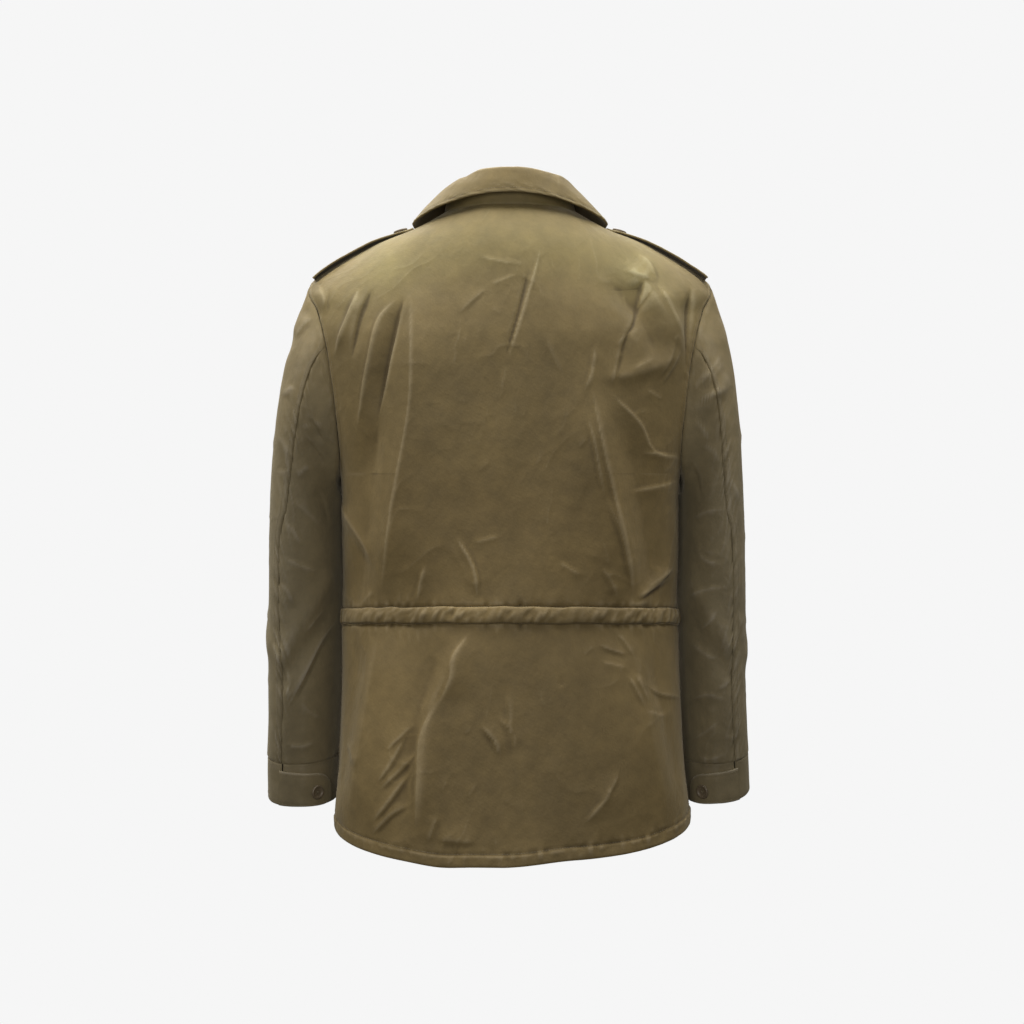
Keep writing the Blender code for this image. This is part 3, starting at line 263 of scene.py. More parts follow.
    ("skirt_m_1", [(-20, -596), (-2, -612), (4, -640)], 2.2, 3.4, 0.9, 1.25, 0.20, 0.25),
    ("skirt_m_3", [(100, -700), (116, -676), (124, -656)], 2.2, 3.6, 1.3, 1.25, 0.20, 0.25),
]
LEFT_SLEEVE_CREASES = [
    ("sl_cap_1", [(-227, -132), (-240, -146), (-253, -163)], 6.5, 1.8, 2.8, 1.20, 0.05, 0.10),
    ("sl_cap_2", [(-228, -116), (-239, -129), (-245, -141)], 3.5, 3.5, -1.2, 1.50, 0.20, 0.40),
    ("sl_1", [(-264, -221), (-249, -215)], 2.9, 1.8, 1.1, 1.30, 0.30, 0.30),
    ("sl_2", [(-263, -226), (-250, -222)], 2.9, 1.8, 0.9, 1.30, 0.30, 0.30),
    ("sl_3", [(-247, -261), (-231, -259), (-214, -256)], 3.5, 2.1, 1.1, 1.30, 0.30, 0.30),
    ("sl_4", [(-251, -321), (-229, -304)], 4.0, 2.3, 1.1, 1.30, 0.30, 0.30),
    ("sl_5", [(-256, -346), (-237, -360), (-219, -381)], 4.6, 4.6, 0.9, 1.70, 0.30, 0.40),
    ("sl_6", [(-264, -411), (-244, -422), (-219, -429)], 4.6, 3.5, 1.0, 1.50, 0.30, 0.40),
    ("sl_bit", [(-259, -536), (-258, -558), (-260, -582)], 3.5, 3.5, 1.5, 1.30, 0.15, 0.20),
    ("sl_long", [(-197, -480), (-219, -508), (-240, -549), (-263, -593)], 4.0, 2.3, 1.9, 1.25, 0.15, 0.20),
    ("sl_long_dip", [(-201, -491), (-219, -519), (-237, -556), (-256, -588)], 2.9, 3.5, -1.0, 1.40, 0.20, 0.30),
    ("sl_7", [(-244, -577), (-233, -590), (-214, -600)], 4.6, 2.9, 1.0, 1.40, 0.30, 0.30),
    ("sl_8", [(-277, -508), (-271, -525), (-267, -540)], 2.9, 2.9, 1.0, 1.40, 0.30, 0.30),
    ("sl_9", [(-266, -228), (-258, -222), (-250, -214)], 2.2, 3.6, 1.9, 1.25, 0.15, 0.25),
    ("sl_10", [(-273, -310), (-264, -310), (-256, -309)], 1.8, 3.0, -1.6, 1.25, 0.15, 0.25),
    ("sl_11", [(-250, -319), (-242, -312), (-232, -304)], 2.2, 3.8, 1.8, 1.25, 0.15, 0.25),
    ("sl_12", [(-236, -250), (-226, -262), (-216, -282)], 3.6, 3.0, -1.8, 1.40, 0.15, 0.25),
    ("sl_13", [(-240, -272), (-228, -286), (-214, -306)], 3.6, 3.0, -1.6, 1.40, 0.15, 0.25),
    ("sl_14", [(-270, -268), (-262, -284), (-256, -300)], 3.0, 2.2, 1.2, 1.30, 0.20, 0.25),
    ("sl_15", [(-262, -370), (-250, -384), (-240, -402)], 3.2, 2.4, 1.2, 1.30, 0.20, 0.25),
    ("sl_16", [(-226, -330), (-216, -352), (-210, -380)], 4.0, 3.0, -1.3, 1.40, 0.20, 0.25),
    ("sl_17", [(-270, -440), (-258, -452), (-250, -470)], 3.2, 2.4, 1.2, 1.30, 0.20, 0.25),
    ("sl_18", [(-262, -626), (-244, -630), (-222, -622)], 3.2, 2.4, 1.2, 1.30, 0.20, 0.25),
    ("sl_19", [(-240, -500), (-228, -486), (-212, -466)], 3.0, 2.4, 1.1, 1.30, 0.20, 0.25),
]
RIGHT_SLEEVE_CREASES = [
    ("sr_1", [(216, -216), (227, -191)], 2.9, 2.1, 1.1, 1.30, 0.30, 0.30),
    ("sr_2", [(217, -214), (231, -194), (245, -174)], 3.5, 2.3, 1.3, 1.30, 0.20, 0.30),
    ("sr_2b", [(222, -217), (236, -197), (248, -181)], 2.9, 2.3, 0.9, 1.30, 0.20, 0.30),
    ("sr_3", [(252, -217), (233, -225), (211, -233)], 3.5, 2.1, 1.3, 1.30, 0.20, 0.30),
    ("sr_4", [(225, -191), (216, -208), (207, -225)], 2.9, 2.9, 1.1, 1.30, 0.30, 0.30),
    ("sr_5", [(217, -277), (234, -291), (242, -309)], 4.0, 3.5, 0.9, 1.50, 0.30, 0.40),
    ("sr_6", [(205, -369), (224, -360), (249, -355)], 4.0, 2.9, 1.0, 1.40, 0.30, 0.30),
    ("sr_7", [(201, -461), (221, -450), (252, -445)], 4.6, 2.9, 1.1, 1.40, 0.30, 0.30),
    ("sr_8", [(205, -508), (224, -524), (242, -531)], 4.6, 2.9, 1.3, 1.30, 0.20, 0.30),
    ("sr_9", [(205, -577), (226, -570), (249, -577)], 4.6, 2.9, 1.1, 1.40, 0.30, 0.30),
    ("sr_10", [(260, -473), (265, -496), (264, -519)], 2.9, 2.9, 1.1, 1.40, 0.30, 0.30),
    ("sr_11", [(207, -623), (226, -611), (242, -597)], 3.5, 2.9, 1.0, 1.40, 0.30, 0.30),
    ("sr_12", [(208, -250), (220, -262), (230, -282)], 3.4, 2.4, 1.3, 1.30, 0.20, 0.25),
    ("sr_13", [(206, -300), (214, -322), (218, -346)], 3.6, 2.8, -1.4, 1.40, 0.20, 0.25),
    ("sr_14", [(250, -318), (258, -334), (262, -352)], 3.0, 2.2, 1.2, 1.30, 0.20, 0.25),
    ("sr_15", [(212, -402), (226, -416), (246, -420)], 3.4, 2.4, 1.3, 1.30, 0.20, 0.25),
    ("sr_16", [(238, -470), (230, -486), (214, -498)], 3.2, 2.4, 1.2, 1.30, 0.20, 0.25),
    ("sr_17", [(256, -548), (246, -560), (230, -566)], 3.2, 2.4, 1.2, 1.30, 0.20, 0.25),
    ("sr_18", [(212, -640), (230, -644), (250, -636)], 3.2, 2.4, 1.2, 1.30, 0.20, 0.25),
    ("sr_19", [(236, -130), (244, -152), (248, -172)], 3.4, 2.4, 1.4, 1.30, 0.20, 0.25),
]
# Broad areas where the cloth is painted paler (plus) or darker (minus), partly wear
# and fading, partly painted light and shade; the yoke and shoulders are paler as
# painted light from above.  Each is a line through places on the garment, in mm
# towards the wearer's right and above the neck seam, the half width of the area and the amount.
WEAR_AND_LIGHT = ("name", "line", "half", "amount")
BACK_WEAR_AND_LIGHT = [
    ("yoke", [(-140, -62), (0, -44), (140, -62)], 46, 0.26),
    ("left_shoulder", [(-205, -112), (-150, -84)], 34, 0.16),
    ("right_shoulder", [(205, -112), (150, -84)], 34, 0.16),
    ("low_back", [(-30, -320), (20, -350), (60, -390)], 60, 0.14),
    ("small_of_back", [(-70, -440), (60, -440)], 60, 0.12),
    ("left_skirt", [(-130, -540), (-150, -700)], 46, 0.12),
    ("right_skirt", [(70, -500), (90, -720)], 66, -0.10),
]
# Creases of the fronts, seen the same way from the front: mm right of the
# middle and above the neck seam.
FRONT_CREASES = [
    ("left_chest_1", [(70, -150), (96, -176), (118, -214)], 4.0, 7.0, 1.6, 1.5, 0.3, 0.3),
    ("left_chest_2", [(40, -210), (66, -226), (92, -232)], 3.5, 2.5, 1.1, 1.3, 0.3, 0.3),
    ("left_arm_1", [(176, -170), (158, -214), (150, -262)], 7.0, 5.0, 2.0, 1.6, 0.2, 0.4),
    ("left_arm_2", [(186, -240), (160, -262), (132, -268)], 4.0, 2.5, 1.3, 1.3, 0.2, 0.4),
    ("left_side_1", [(182, -330), (150, -352), (116, -392)], 5.0, 3.0, 1.5, 1.4, 0.2, 0.4),
    ("left_side_2", [(96, -390), (104, -430), (100, -468)], 4.0, 4.0, 1.6, 1.4, 0.3, 0.1),
    ("left_waist_1", [(58, -430), (62, -452), (60, -470)], 3.0, 3.0, 1.2, 1.4, 0.3, 0.1),
    ("left_skirt_1", [(70, -512), (84, -580), (78, -660)], 5.0, 8.0, 2.0, 1.5, 0.1, 0.4),
    ("left_skirt_2", [(130, -520), (120, -566), (126, -610)], 4.0, 5.0, 1.5, 1.4, 0.1, 0.4),
    ("left_skirt_3", [(160, -640), (134, -668), (110, -702)], 4.5, 3.0, 1.4, 1.4, 0.2, 0.3),
    ("left_skirt_4", [(44, -610), (62, -634), (70, -668)], 3.0, 3.0, 1.1, 1.3, 0.3, 0.3),
    ("right_chest_1", [(-64, -140), (-88, -170), (-108, -196)], 7.0, 4.0, 1.6, 1.5, 0.3, 0.3),
    ("right_chest_2", [(-44, -246), (-70, -238), (-98, -252)], 3.0, 2.5, 1.0, 1.3, 0.3, 0.3),
    ("right_arm_1", [(-178, -180), (-160, -226), (-146, -284)], 5.0, 7.0, 2.0, 1.6, 0.2, 0.4),
    ("right_arm_2", [(-188, -262), (-158, -276), (-128, -302)], 4.0, 2.5, 1.3, 1.3, 0.2, 0.4),
    ("right_side_1", [(-180, -352), (-146, -376), (-118, -380)], 5.0, 3.0, 1.5, 1.4, 0.2, 0.4),
    ("right_side_2", [(-78, -400), (-86, -436), (-84, -468)], 4.0, 4.0, 1.6, 1.4, 0.3, 0.1),
    ("right_waist_1", [(-128, -426), (-122, -450), (-126, -470)], 3.0, 3.0, 1.3, 1.4, 0.3, 0.1),
    ("right_skirt_1", [(-88, -512), (-80, -590), (-94, -674)], 8.0, 5.0, 2.0, 1.5, 0.1, 0.4),
    ("right_skirt_2", [(-142, -516), (-150, -560), (-138, -620)], 4.0, 5.0, 1.5, 1.4, 0.1, 0.4),
    ("right_skirt_3", [(-60, -560), (-50, -592), (-54, -630)], 3.0, 3.0, 1.2, 1.3, 0.3, 0.3),
    ("right_skirt_4", [(-168, -656), (-140, -690), (-112, -706)], 4.5, 3.0, 1.4, 1.4, 0.2, 0.3),
]
# Creases round the sleeves where they don't face the back: angle in degrees
# (0 outer side, 90 back, 180 inner side, 270 front) and z in mm.
ROUND_CREASES = {
    "left": [
        ("outer_1", [(40, -262), (4, -284), (-30, -322)], 4.0, 3.0, 1.5, 1.4, 0.3, 0.3),
        ("outer_2", [(38, -372), (-4, -366), (-34, -390)], 3.5, 2.5, 1.1, 1.3, 0.3, 0.3),
        ("outer_3", [(30, -500), (-10, -478), (-52, -470)], 5.0, 3.0, 1.6, 1.4, 0.3, 0.3),
        ("outer_4", [(34, -590), (0, -560), (-40, -556)], 4.0, 3.0, 1.3, 1.3, 0.3, 0.3),
        ("front_1", [(-30, -230), (-64, -262), (-110, -300)], 6.0, 4.0, 1.8, 1.5, 0.3, 0.3),
        ("front_2", [(-40, -420), (-78, -446), (-118, -452)], 5.0, 3.5, 1.8, 1.4, 0.3, 0.3),
        ("front_3", [(-36, -470), (-80, -492), (-124, -486)], 5.0, 3.5, 2.0, 1.4, 0.3, 0.3),
        ("front_4", [(-60, -520), (-96, -540), (-122, -536)], 4.0, 3.0, 1.4, 1.4, 0.3, 0.3),
        ("front_5", [(-46, -610), (-86, -596), (-118, -604)], 4.0, 3.0, 1.2, 1.4, 0.3, 0.3),
        ("inner_1", [(150, -330), (190, -352), (226, -350)], 5.0, 4.0, 1.6, 1.5, 0.3, 0.3),
        ("inner_2", [(150, -470), (190, -476), (224, -460)], 5.0, 4.0, 1.6, 1.5, 0.3, 0.3),
        ("inner_3", [(146, -570), (186, -590), (222, -584)], 4.0, 3.0, 1.3, 1.4, 0.3, 0.3),
    ],
    "right": [
        ("outer_1", [(40, -250), (8, -280), (-30, -306)], 4.0, 3.0, 1.4, 1.4, 0.3, 0.3),
        ("outer_2", [(30, -402), (-8, -386), (-40, -398)], 3.5, 2.5, 1.2, 1.3, 0.3, 0.3),
        ("outer_3", [(36, -480), (0, -494), (-44, -482)], 5.0, 3.0, 1.5, 1.4, 0.3, 0.3),
        ("outer_4", [(34, -606), (4, -580), (-36, -572)], 4.0, 3.0, 1.3, 1.3, 0.3, 0.3),
        ("front_1", [(-30, -240), (-70, -276), (-112, -306)], 6.0, 4.0, 1.8, 1.5, 0.3, 0.3),
        ("front_2", [(-38, -436), (-80, -456), (-120, -448)], 5.0, 3.5, 1.9, 1.4, 0.3, 0.3),
        ("front_3", [(-42, -486), (-84, -504), (-120, -510)], 5.0, 3.5, 1.8, 1.4, 0.3, 0.3),
        ("front_4", [(-58, -546), (-92, -560), (-124, -552)], 4.0, 3.0, 1.4, 1.4, 0.3, 0.3),
        ("front_5", [(-44, -622), (-84, -612), (-116, -620)], 4.0, 3.0, 1.1, 1.4, 0.3, 0.3),
        ("inner_1", [(150, -342), (190, -360), (226, -346)], 5.0, 4.0, 1.6, 1.5, 0.3, 0.3),
        ("inner_2", [(152, -456), (190, -470), (224, -476)], 5.0, 4.0, 1.5, 1.5, 0.3, 0.3),
        ("inner_3", [(146, -584), (186, -578), (222, -594)], 4.0, 3.0, 1.3, 1.4, 0.3, 0.3),
    ],
}


# ------------------------------------------------------------------ helpers
def column(table, fields, name):
    return np.array([row[fields.index(name)] for row in table], dtype=float)


def along(values, t):
    t = np.clip(np.asarray(t, dtype=float), 0.0, len(values) - 1.0)
    i = np.minimum(t.astype(int), len(values) - 2)
    f = t - i
    p0 = values[np.maximum(i - 1, 0)]
    p1, p2 = values[i], values[i + 1]
    p3 = values[np.minimum(i + 2, len(values) - 1)]
    return (p1 + 0.5 * f * (p2 - p0 + f * (2 * p0 - 5 * p1 + 4 * p2 - p3
            + f * (3 * (p1 - p2) + p3 - p0))))


def unit(v):
    return v / np.maximum(np.linalg.norm(v, axis=-1, keepdims=True), 1e-12)


def ease(x, lo=0.0, hi=1.0):
    f = np.clip((x - lo) / (hi - lo), 0.0, 1.0)
    return f * f * (3 - 2 * f)


def line_distance(a, b, points):
    best = None
    for (a0, b0), (a1, b1) in zip(points[:-1], points[1:]):
        da, db = a1 - a0, b1 - b0
        s = np.clip(((a - a0) * da + (b - b0) * db) / (da * da + db * db), 0.0, 1.0)
        d = np.hypot(a - a0 - s * da, b - b0 - s * db)
        best = d if best is None else np.minimum(best, d)
    return best


def noise(x, y, seed):
    """Smooth value noise from -1 to 1, one cell to a unit of x and y."""
    table = np.random.default_rng(seed).uniform(-1, 1, (64, 64))
    x, y = np.broadcast_arrays(np.asarray(x, float), np.asarray(y, float))
    xi, yi = np.floor(x).astype(int), np.floor(y).astype(int)
    fx, fy = x - xi, y - yi
    fx, fy = fx * fx * (3 - 2 * fx), fy * fy * (3 - 2 * fy)
    a, b = table[xi % 64, yi % 64], table[(xi + 1) % 64, yi % 64]
    c, d = table[xi % 64, (yi + 1) % 64], table[(xi + 1) % 64, (yi + 1) % 64]
    return (a * (1 - fx) + b * fx) * (1 - fy) + (c * (1 - fx) + d * fx) * fy


def smooth_line(points, steps=7):
    """A smooth run of points through a few."""
    pts = np.array(points, dtype=float)
    t = np.linspace(0, len(pts) - 1, steps * (len(pts) - 1) + 1)
    return np.stack([along(pts[:, 0], t), along(pts[:, 1], t)], axis=-1)


def creases(a, b, table, facing=1.0, gain=1.0):
    """Height in metres of a table's creases at places (a, b) in mm."""
    a, b = np.broadcast_arrays(a, b)
    total = np.zeros(a.shape)
    flat_a, flat_b, flat = a.ravel(), b.ravel(), total.ravel()
    for name, line, low, high, height, power, fade_in, fade_out in table:
        pts = smooth_line(line)
        reach = 7.5 * max(low, high)
        near = np.flatnonzero((flat_a > pts[:, 0].min() - reach) & (flat_a < pts[:, 0].max() + reach)
                              & (flat_b > pts[:, 1].min() - reach) & (flat_b < pts[:, 1].max() + reach))
        if not len(near):
            continue
        pa, pb = flat_a[near], flat_b[near]
        runs = np.hypot(*np.diff(pts, axis=0).T)
        start = np.concatenate([[0.0], np.cumsum(runs)])
        best = np.full(len(near), 1e9)
        signed, place = np.zeros(len(near)), np.zeros(len(near))
        for k in range(len(runs)):
            da, db = pts[k + 1] - pts[k]
            f = np.clip(((pa - pts[k, 0]) * da + (pb - pts[k, 1]) * db) / (da * da + db * db), 0, 1)
            ea, eb = pa - pts[k, 0] - f * da, pb - pts[k, 1] - f * db
            d = np.hypot(ea, eb)
            closer = d < best
            best = np.where(closer, d, best)
            side = (ea * -db + eb * da) / runs[k]
            signed = np.where(closer, side, signed)
            place = np.where(closer, (start[k] + f * runs[k]) / start[-1], place)
        fade = ease(place / max(fade_in, 0.32)) * ease((1 - place) / max(fade_out, 0.38))
        height = height * (0.50 + 0.50 * ease(start[-1], 18.0, 62.0))
        sharp, wide = max(1.5, 0.60 * min(low, high)), 1.9 * max(low, high)
        if low > high:
            width = np.where(signed < 0, wide, sharp)
        else:
            width = np.where(signed < 0, sharp, wide)
        width = width * (0.45 + 0.55 * fade)
        soft = np.sqrt(best ** 2 + 0.12) - 0.346         # the crest is a little round
        flat[near] += 0.001 * gain * height * fade * np.exp(-(soft / width) ** (0.9 * power))
    return total * facing


def seen(p, back=True):
    """Where points are seen from EYE against the plane of the back, in mm."""
    if back:
        k = (EYE[1] - PLANE) / (EYE[1] - p[..., 1])
        return -(p[..., 0] - EYE[0]) * k * 1000, (EYE[2] + (p[..., 2] - EYE[2]) * k) * 1000
    return p[..., 0] * 1000, p[..., 2] * 1000


def dye_and_painted_light(p, out):
    """How much paler (plus) or darker (minus) the cloth is painted: partly dye and wear, partly painted light and
    shade.
    """
    a, b = -p[..., 0] * 1000, p[..., 2] * 1000
    back = ease(out[..., 1], -0.15, 0.25)
    # Paler towards the top on the front and sides: painted light from above, partly fading.
    total = 0.16 * ease(p[..., 2], -0.16, -0.02) * (1 - back)
    for name, line, half, amount in BACK_WEAR_AND_LIGHT:
        pts = smooth_line(line)
        total = total + amount * back * np.exp(-(line_distance(a, b, pts) / half) ** 2)
    return total


def crumple(a, b, seed, amount=1.0):
    """Slight unevenness of worn cloth, in metres, at places in mm."""
    h = 0.00075 * noise(a / 62, b / 96, seed) + 0.00045 * noise(a / 27 + 0.3 * b / 27, b / 38, seed + 1)
    h += 0.00016 * noise(a / 11, b / 15, seed + 2) * ease(noise(a / 50, b / 50, seed + 3), -0.2, 0.8)
    bend_a = a + 16 * noise(a / 70, b / 60, seed + 4) + 5 * noise(a / 24, b / 22, seed + 5)
    bend_b = b + 16 * noise(a / 60, b / 75, seed + 6) + 5 * noise(a / 25, b / 21, seed + 7)
    for size, height, k in ((48.0, 0.00060, 8), (31.0, 0.00045, 10), (18.0, 0.00030, 12)):
        line = 1 - np.abs(noise(bend_a / size + 0.35 * bend_b / size, bend_b / (1.35 * size), seed + k))
        patch = ease(noise(a / 75, b / 85, seed + k + 1), -0.15, 0.7)
        h += height * patch * np.clip(line, 0, 1) ** 9
    return amount * h


# ------------------------------------------------------------------ forms
def torso_plain(phi, t):
    phi, t = np.broadcast_arrays(np.asarray(phi, float), np.asarray(t, float))
    ring = {n: along(column(RINGS, RING, n), t) for n in RING[1:]}
    s, c = np.sin(np.radians(phi)), np.cos(np.radians(phi))
    back = c >= 0
    x = ring["x_mid"] + ring["half"] * np.sign(s) * np.abs(s) ** (2 / ring["power"])
    y = np.where(back, ring["y_back"], ring["y_front"]) * np.abs(c) ** (2 / ring["power"])
    z = ring["z_side"] + (np.where(back, ring["z_back"], ring["z_front"])
                          - ring["z_side"]) * np.abs(c) ** ring["z_power"]
    low = np.clip(1 - t, 0, 1)
    z = z + HEM_LIFT_RIGHT * ease(-x, -0.01, 0.075) * low
    z = z - HEM_DROP[2] * np.exp(-((x - HEM_DROP[0]) / HEM_DROP[1]) ** 2) * back * low
    return np.stack([x, y, z], axis=-1)


def torso_up(phi, t, da=0.5, dt=0.012):
    t_lo, t_hi = np.clip(t - dt, 0, T_NECK), np.clip(t + dt, 0, T_NECK)
    round_it = torso_plain(phi + da, t) - torso_plain(phi - da, t)
    up = torso_plain(phi, t_hi) - torso_plain(phi, t_lo)
    return -unit(np.cross(round_it, up))


def fold_height(x, z, row):
    """Height of one fold at places (x, z): it rises and dies out along its line."""
    cells = dict(zip(FOLD, row))
    pts = smooth_line([(cells["x%d" % k], cells["z%d" % k]) for k in (1, 2, 3, 4)], 4)
    runs = np.hypot(*np.diff(pts, axis=0).T)
    start = np.concatenate([[0.0], np.cumsum(runs)])
    best = np.full(np.shape(x), 1e9)
    side, place = np.zeros_like(best), np.zeros_like(best)
    for k, run in enumerate(runs):
        dx, dz = pts[k + 1] - pts[k]
        f = np.clip(((x - pts[k, 0]) * dx + (z - pts[k, 1]) * dz) / run ** 2, 0, 1)
        ex, ez = x - pts[k, 0] - f * dx, z - pts[k, 1] - f * dz
        d = np.hypot(ex, ez)
        near = d < best
        best = np.where(near, d, best)
        side = np.where(near, ex * -dz + ez * dx, side)
        place = np.where(near, (start[k] + f * run) / start[-1], place)
    width = np.where(side > 0, cells["half_left"], cells["half_right"])
    fade = ease(place / 0.28) * ease((1 - place) / 0.28)
    return cells["height"] * fade * np.exp(-(best / width) ** 1.7)


def torso_folds(p):
    h = np.zeros(p.shape[:-1])
    w = ease(p[..., 1], -0.02, 0.02)
    for table, side in ((BACK_FOLDS, w), (FRONT_FOLDS, 1 - w)):
        for row in table:
            h = h + side * fold_height(p[..., 0], p[..., 2], row)
    return h


def torso_fine(p, out):
    """Height of the creases and the unevenness of the torso's cloth."""
    back = ease(out[..., 1], -0.10, 0.15)
    a, b = seen(p)
    h = creases(a, b, BACK_CREASES, back, CREASE_GAIN)
    h += creases(p[..., 0] * 1000, p[..., 2] * 1000, FRONT_CREASES, 1 - back)
    turn = np.degrees(np.arctan2(p[..., 0], p[..., 1])) * 3.0
    return h + crumple(turn, p[..., 2] * 1000, 11)


def torso_cloth(phi, t):
    """Points of the creased torso, and the plain form's outward directions."""
    phi, t = np.broadcast_arrays(np.asarray(phi, float), np.asarray(t, float))
    p, out = torso_plain(phi, t), torso_up(phi, t)
    h = torso_folds(p) + torso_fine(p, out)
    return p + h[..., None] * out, out


def torso(phi, t):
    p = torso_plain(phi, t)
    return p + torso_folds(p)[..., None] * torso_up(phi, t)


def armhole(angle, side):
    a = np.radians(angle)
    t = T_UNDERARM + (T_TIP - T_UNDERARM) * (1 + np.cos(a)) / 2
    cut = np.where(np.sin(a) >= 0, ARMHOLE_BACK, ARMHOLE_FRONT) * np.sin(a)
    return side * (90.0 - cut * (1 - ARMHOLE_LEAN * np.cos(a))), t


def sleeve_ring(angle, r, side):
    table = SLEEVE_RINGS["left" if side > 0 else "right"]
    ring = {n: along(column(table, SLEEVE_RING, n), r) for n in SLEEVE_RING[1:]}
    a, tilt = np.radians(angle), np.radians(ring["tilt"])
    x = ring["cx"] + ring["rx"] * np.sign(np.cos(a)) * np.abs(np.cos(a)) ** ring["round"]
    y = ring["cy"] + ring["ry"] * np.cos(tilt) * np.sign(np.sin(a)) * np.abs(np.sin(a)) ** ring["round"]
    y = y + ring["skew"] * np.cos(a)
    z = ring["z"] - ring["ry"] * np.sin(tilt) * np.sin(a) + ring["lean"] * np.cos(a)
    return np.stack([side * x, y, z], axis=-1)


def sleeve_plain(angle, r, side):
    angle, r = np.broadcast_arrays(np.asarray(angle, float), np.asarray(r, float))
    low = sleeve_ring(angle, np.maximum(r, 0.0), side)
    start = torso(*armhole(angle, side))
    end = sleeve_ring(angle, np.zeros_like(r), side)
    reach = np.linalg.norm(end - start, axis=-1, keepdims=True)
    a = np.radians(angle)[..., None]
    top = np.clip(np.cos(a), 0, 1) ** 1.5
    under = np.clip(-np.cos(a), 0, 1) ** 1.5
    mid = np.abs(np.sin(a)) ** 1.5
    turn = np.concatenate([np.ones_like(a), np.sign(np.sin(a)), np.ones_like(a)], -1)
    lead = unit(top * HEAD_TOP + under * HEAD_UNDER + mid * HEAD_BACK * turn)
    lead = lead * np.array([side, 1.0, 1.0]) * reach
    tail = unit(sleeve_ring(angle, np.zeros_like(r) + 0.1, side) - end) * reach
    f = np.clip(r + 1.0, 0.0, 1.0)[..., None]
    head = ((2 * f ** 3 - 3 * f ** 2 + 1) * start + (f ** 3 - 2 * f ** 2 + f) * lead
            + (3 * f ** 2 - 2 * f ** 3) * end + (f ** 3 - f ** 2) * tail)
    return np.where((r > 0)[..., None], low, head)


def hind_seam(r, side):
    """Degrees at which the sleeve's hind seam lies at ring step r."""
    name = "left" if side > 0 else "right"
    arm, cuff = HIND_ARM[name], HIND_CUFF[name]
    return (HIND_HEAD + (arm - HIND_HEAD) * ease(r, -0.75, 0.5)
            + (cuff - arm) * ease(r, 1.0, 2.0))


def sleeve_out(angle, r, side):
    lo, hi = np.clip(r - 0.02, -1, 4), np.clip(r + 0.02, -1, 4)
    round_it = sleeve_plain(angle + 1.0, r, side) - sleeve_plain(angle - 1.0, r, side)
    down = sleeve_plain(angle, hi, side) - sleeve_plain(angle, lo, side)
    return side * unit(np.cross(down, round_it))


def sleeve_cloth(angle, r, side):
    """Points of the creased sleeve, and the plain form's outward directions."""
    word = "left" if side > 0 else "right"
    angle, r = np.broadcast_arrays(np.asarray(angle, float), np.asarray(r, float))
    p, out = sleeve_plain(angle, r, side), sleeve_out(angle, r, side)
    wrapped = (angle + 180.0) % 360.0 - 180.0
    h = np.zeros(p.shape[:-1])
    for name, a1, z1, a2, z2, half, height in SLEEVE_FOLDS[word]:
        d = line_distance(wrapped * 0.001, p[..., 2], [(a1 * 0.001, z1), (a2 * 0.001, z2)])
        h = h + height * np.exp(-(d / half) ** 2)
    h = h * np.clip((r + 1.0) * 3.0, 0, 1) * np.clip(3.0 - r, 0, 1)
    back = ease(out[..., 1], -0.05, 0.20)
    ends = ease(r, -1.0, -0.93)
    a, b = seen(p)
    table = LEFT_SLEEVE_CREASES if side > 0 else RIGHT_SLEEVE_CREASES
    h += creases(a, b, table, back * ends, CREASE_GAIN * 0.95)
    for shift in (0.0, 360.0):
        h += creases((wrapped + shift) * 1.0, p[..., 2] * 1000, ROUND_CREASES[word], (1 - back) * ends)
    h += crumple(wrapped * 1.0, p[..., 2] * 1000, 31 if side > 0 else 41, 0.9) * ends
    return p + h[..., None] * out, out


def collar_line(name, phi):
    row = [r for r in COLLAR_LINES if r[0] == name][0]
    _, half, y_back, y_front, z_back, z_side, z_front, power = row
    s, c = np.sin(np.radians(phi)), np.cos(np.radians(phi))
    x = half * np.sign(s) * np.abs(s) ** (2 / power)
    y = np.where(c >= 0, y_back, y_front) * np.abs(c) ** (2 / power)
    z = z_side + np.where(c >= 0, (z_back - z_side) * c ** 2,
                          (z_front - z_side) * c ** 2)
    return np.stack([x, y, z], axis=-1)


def armhole_edge(t, cut):
    c = np.clip(2 * (t - T_UNDERARM) / (T_TIP - T_UNDERARM) - 1, -1, 1)
    return 90.0 - cut * np.sqrt(1 - c * c) * (1 - ARMHOLE_LEAN * c)


def placket_edge(t, x):
    half, power = (along(column(RINGS, RING, n), t) for n in ("half", "power"))
    return 180.0 - np.degrees(np.arcsin((x / half) ** (power / 2)))


# ------------------------------------------------------------------ grids
EDGE_STEPS = (0.0, 0.0007, 0.0016, 0.0028, 0.0044, 0.0063, 0.0084)


def spread(length, cell, first=True, last=True):
    """Shares of a length: fine steps at its ends, even ones of about cell between."""
    head = list(EDGE_STEPS) if first else [0.0]
    tail = [length - e for e in EDGE_STEPS][::-1] if last else [length]
    n = max(3, int(round((tail[0] - head[-1]) / cell)))
    mid = np.linspace(head[-1], tail[0], n + 1)[1:-1]
    return np.concatenate([head, mid, tail]) / length


def by_length(form, lo, hi, samples=400):
    """A function from shares of a curve's length to its parameter."""
    p = np.linspace(lo, hi, samples)
    points = form(p)
    s = np.concatenate([[0.0], np.cumsum(np.linalg.norm(np.diff(points, axis=0), axis=-1))])
    return (lambda f: np.interp(f, s / s[-1], p)), s[-1]


def run_lengths(grid, axis):
    """Distance along a grid's rows or columns from its first point."""
    step = np.linalg.norm(np.diff(grid, axis=axis), axis=-1)
    zero = np.zeros_like(np.take(step, [0], axis=axis))
    return np.cumsum(np.concatenate([zero, step], axis=axis), axis=axis)


def grid_normals(grid, like):
    n = unit(np.cross(np.gradient(grid, axis=1), np.gradient(grid, axis=0)))
    flip = np.sign((n * like).sum(axis=-1, keepdims=True))
    return n * np.where(flip == 0, 1, flip)


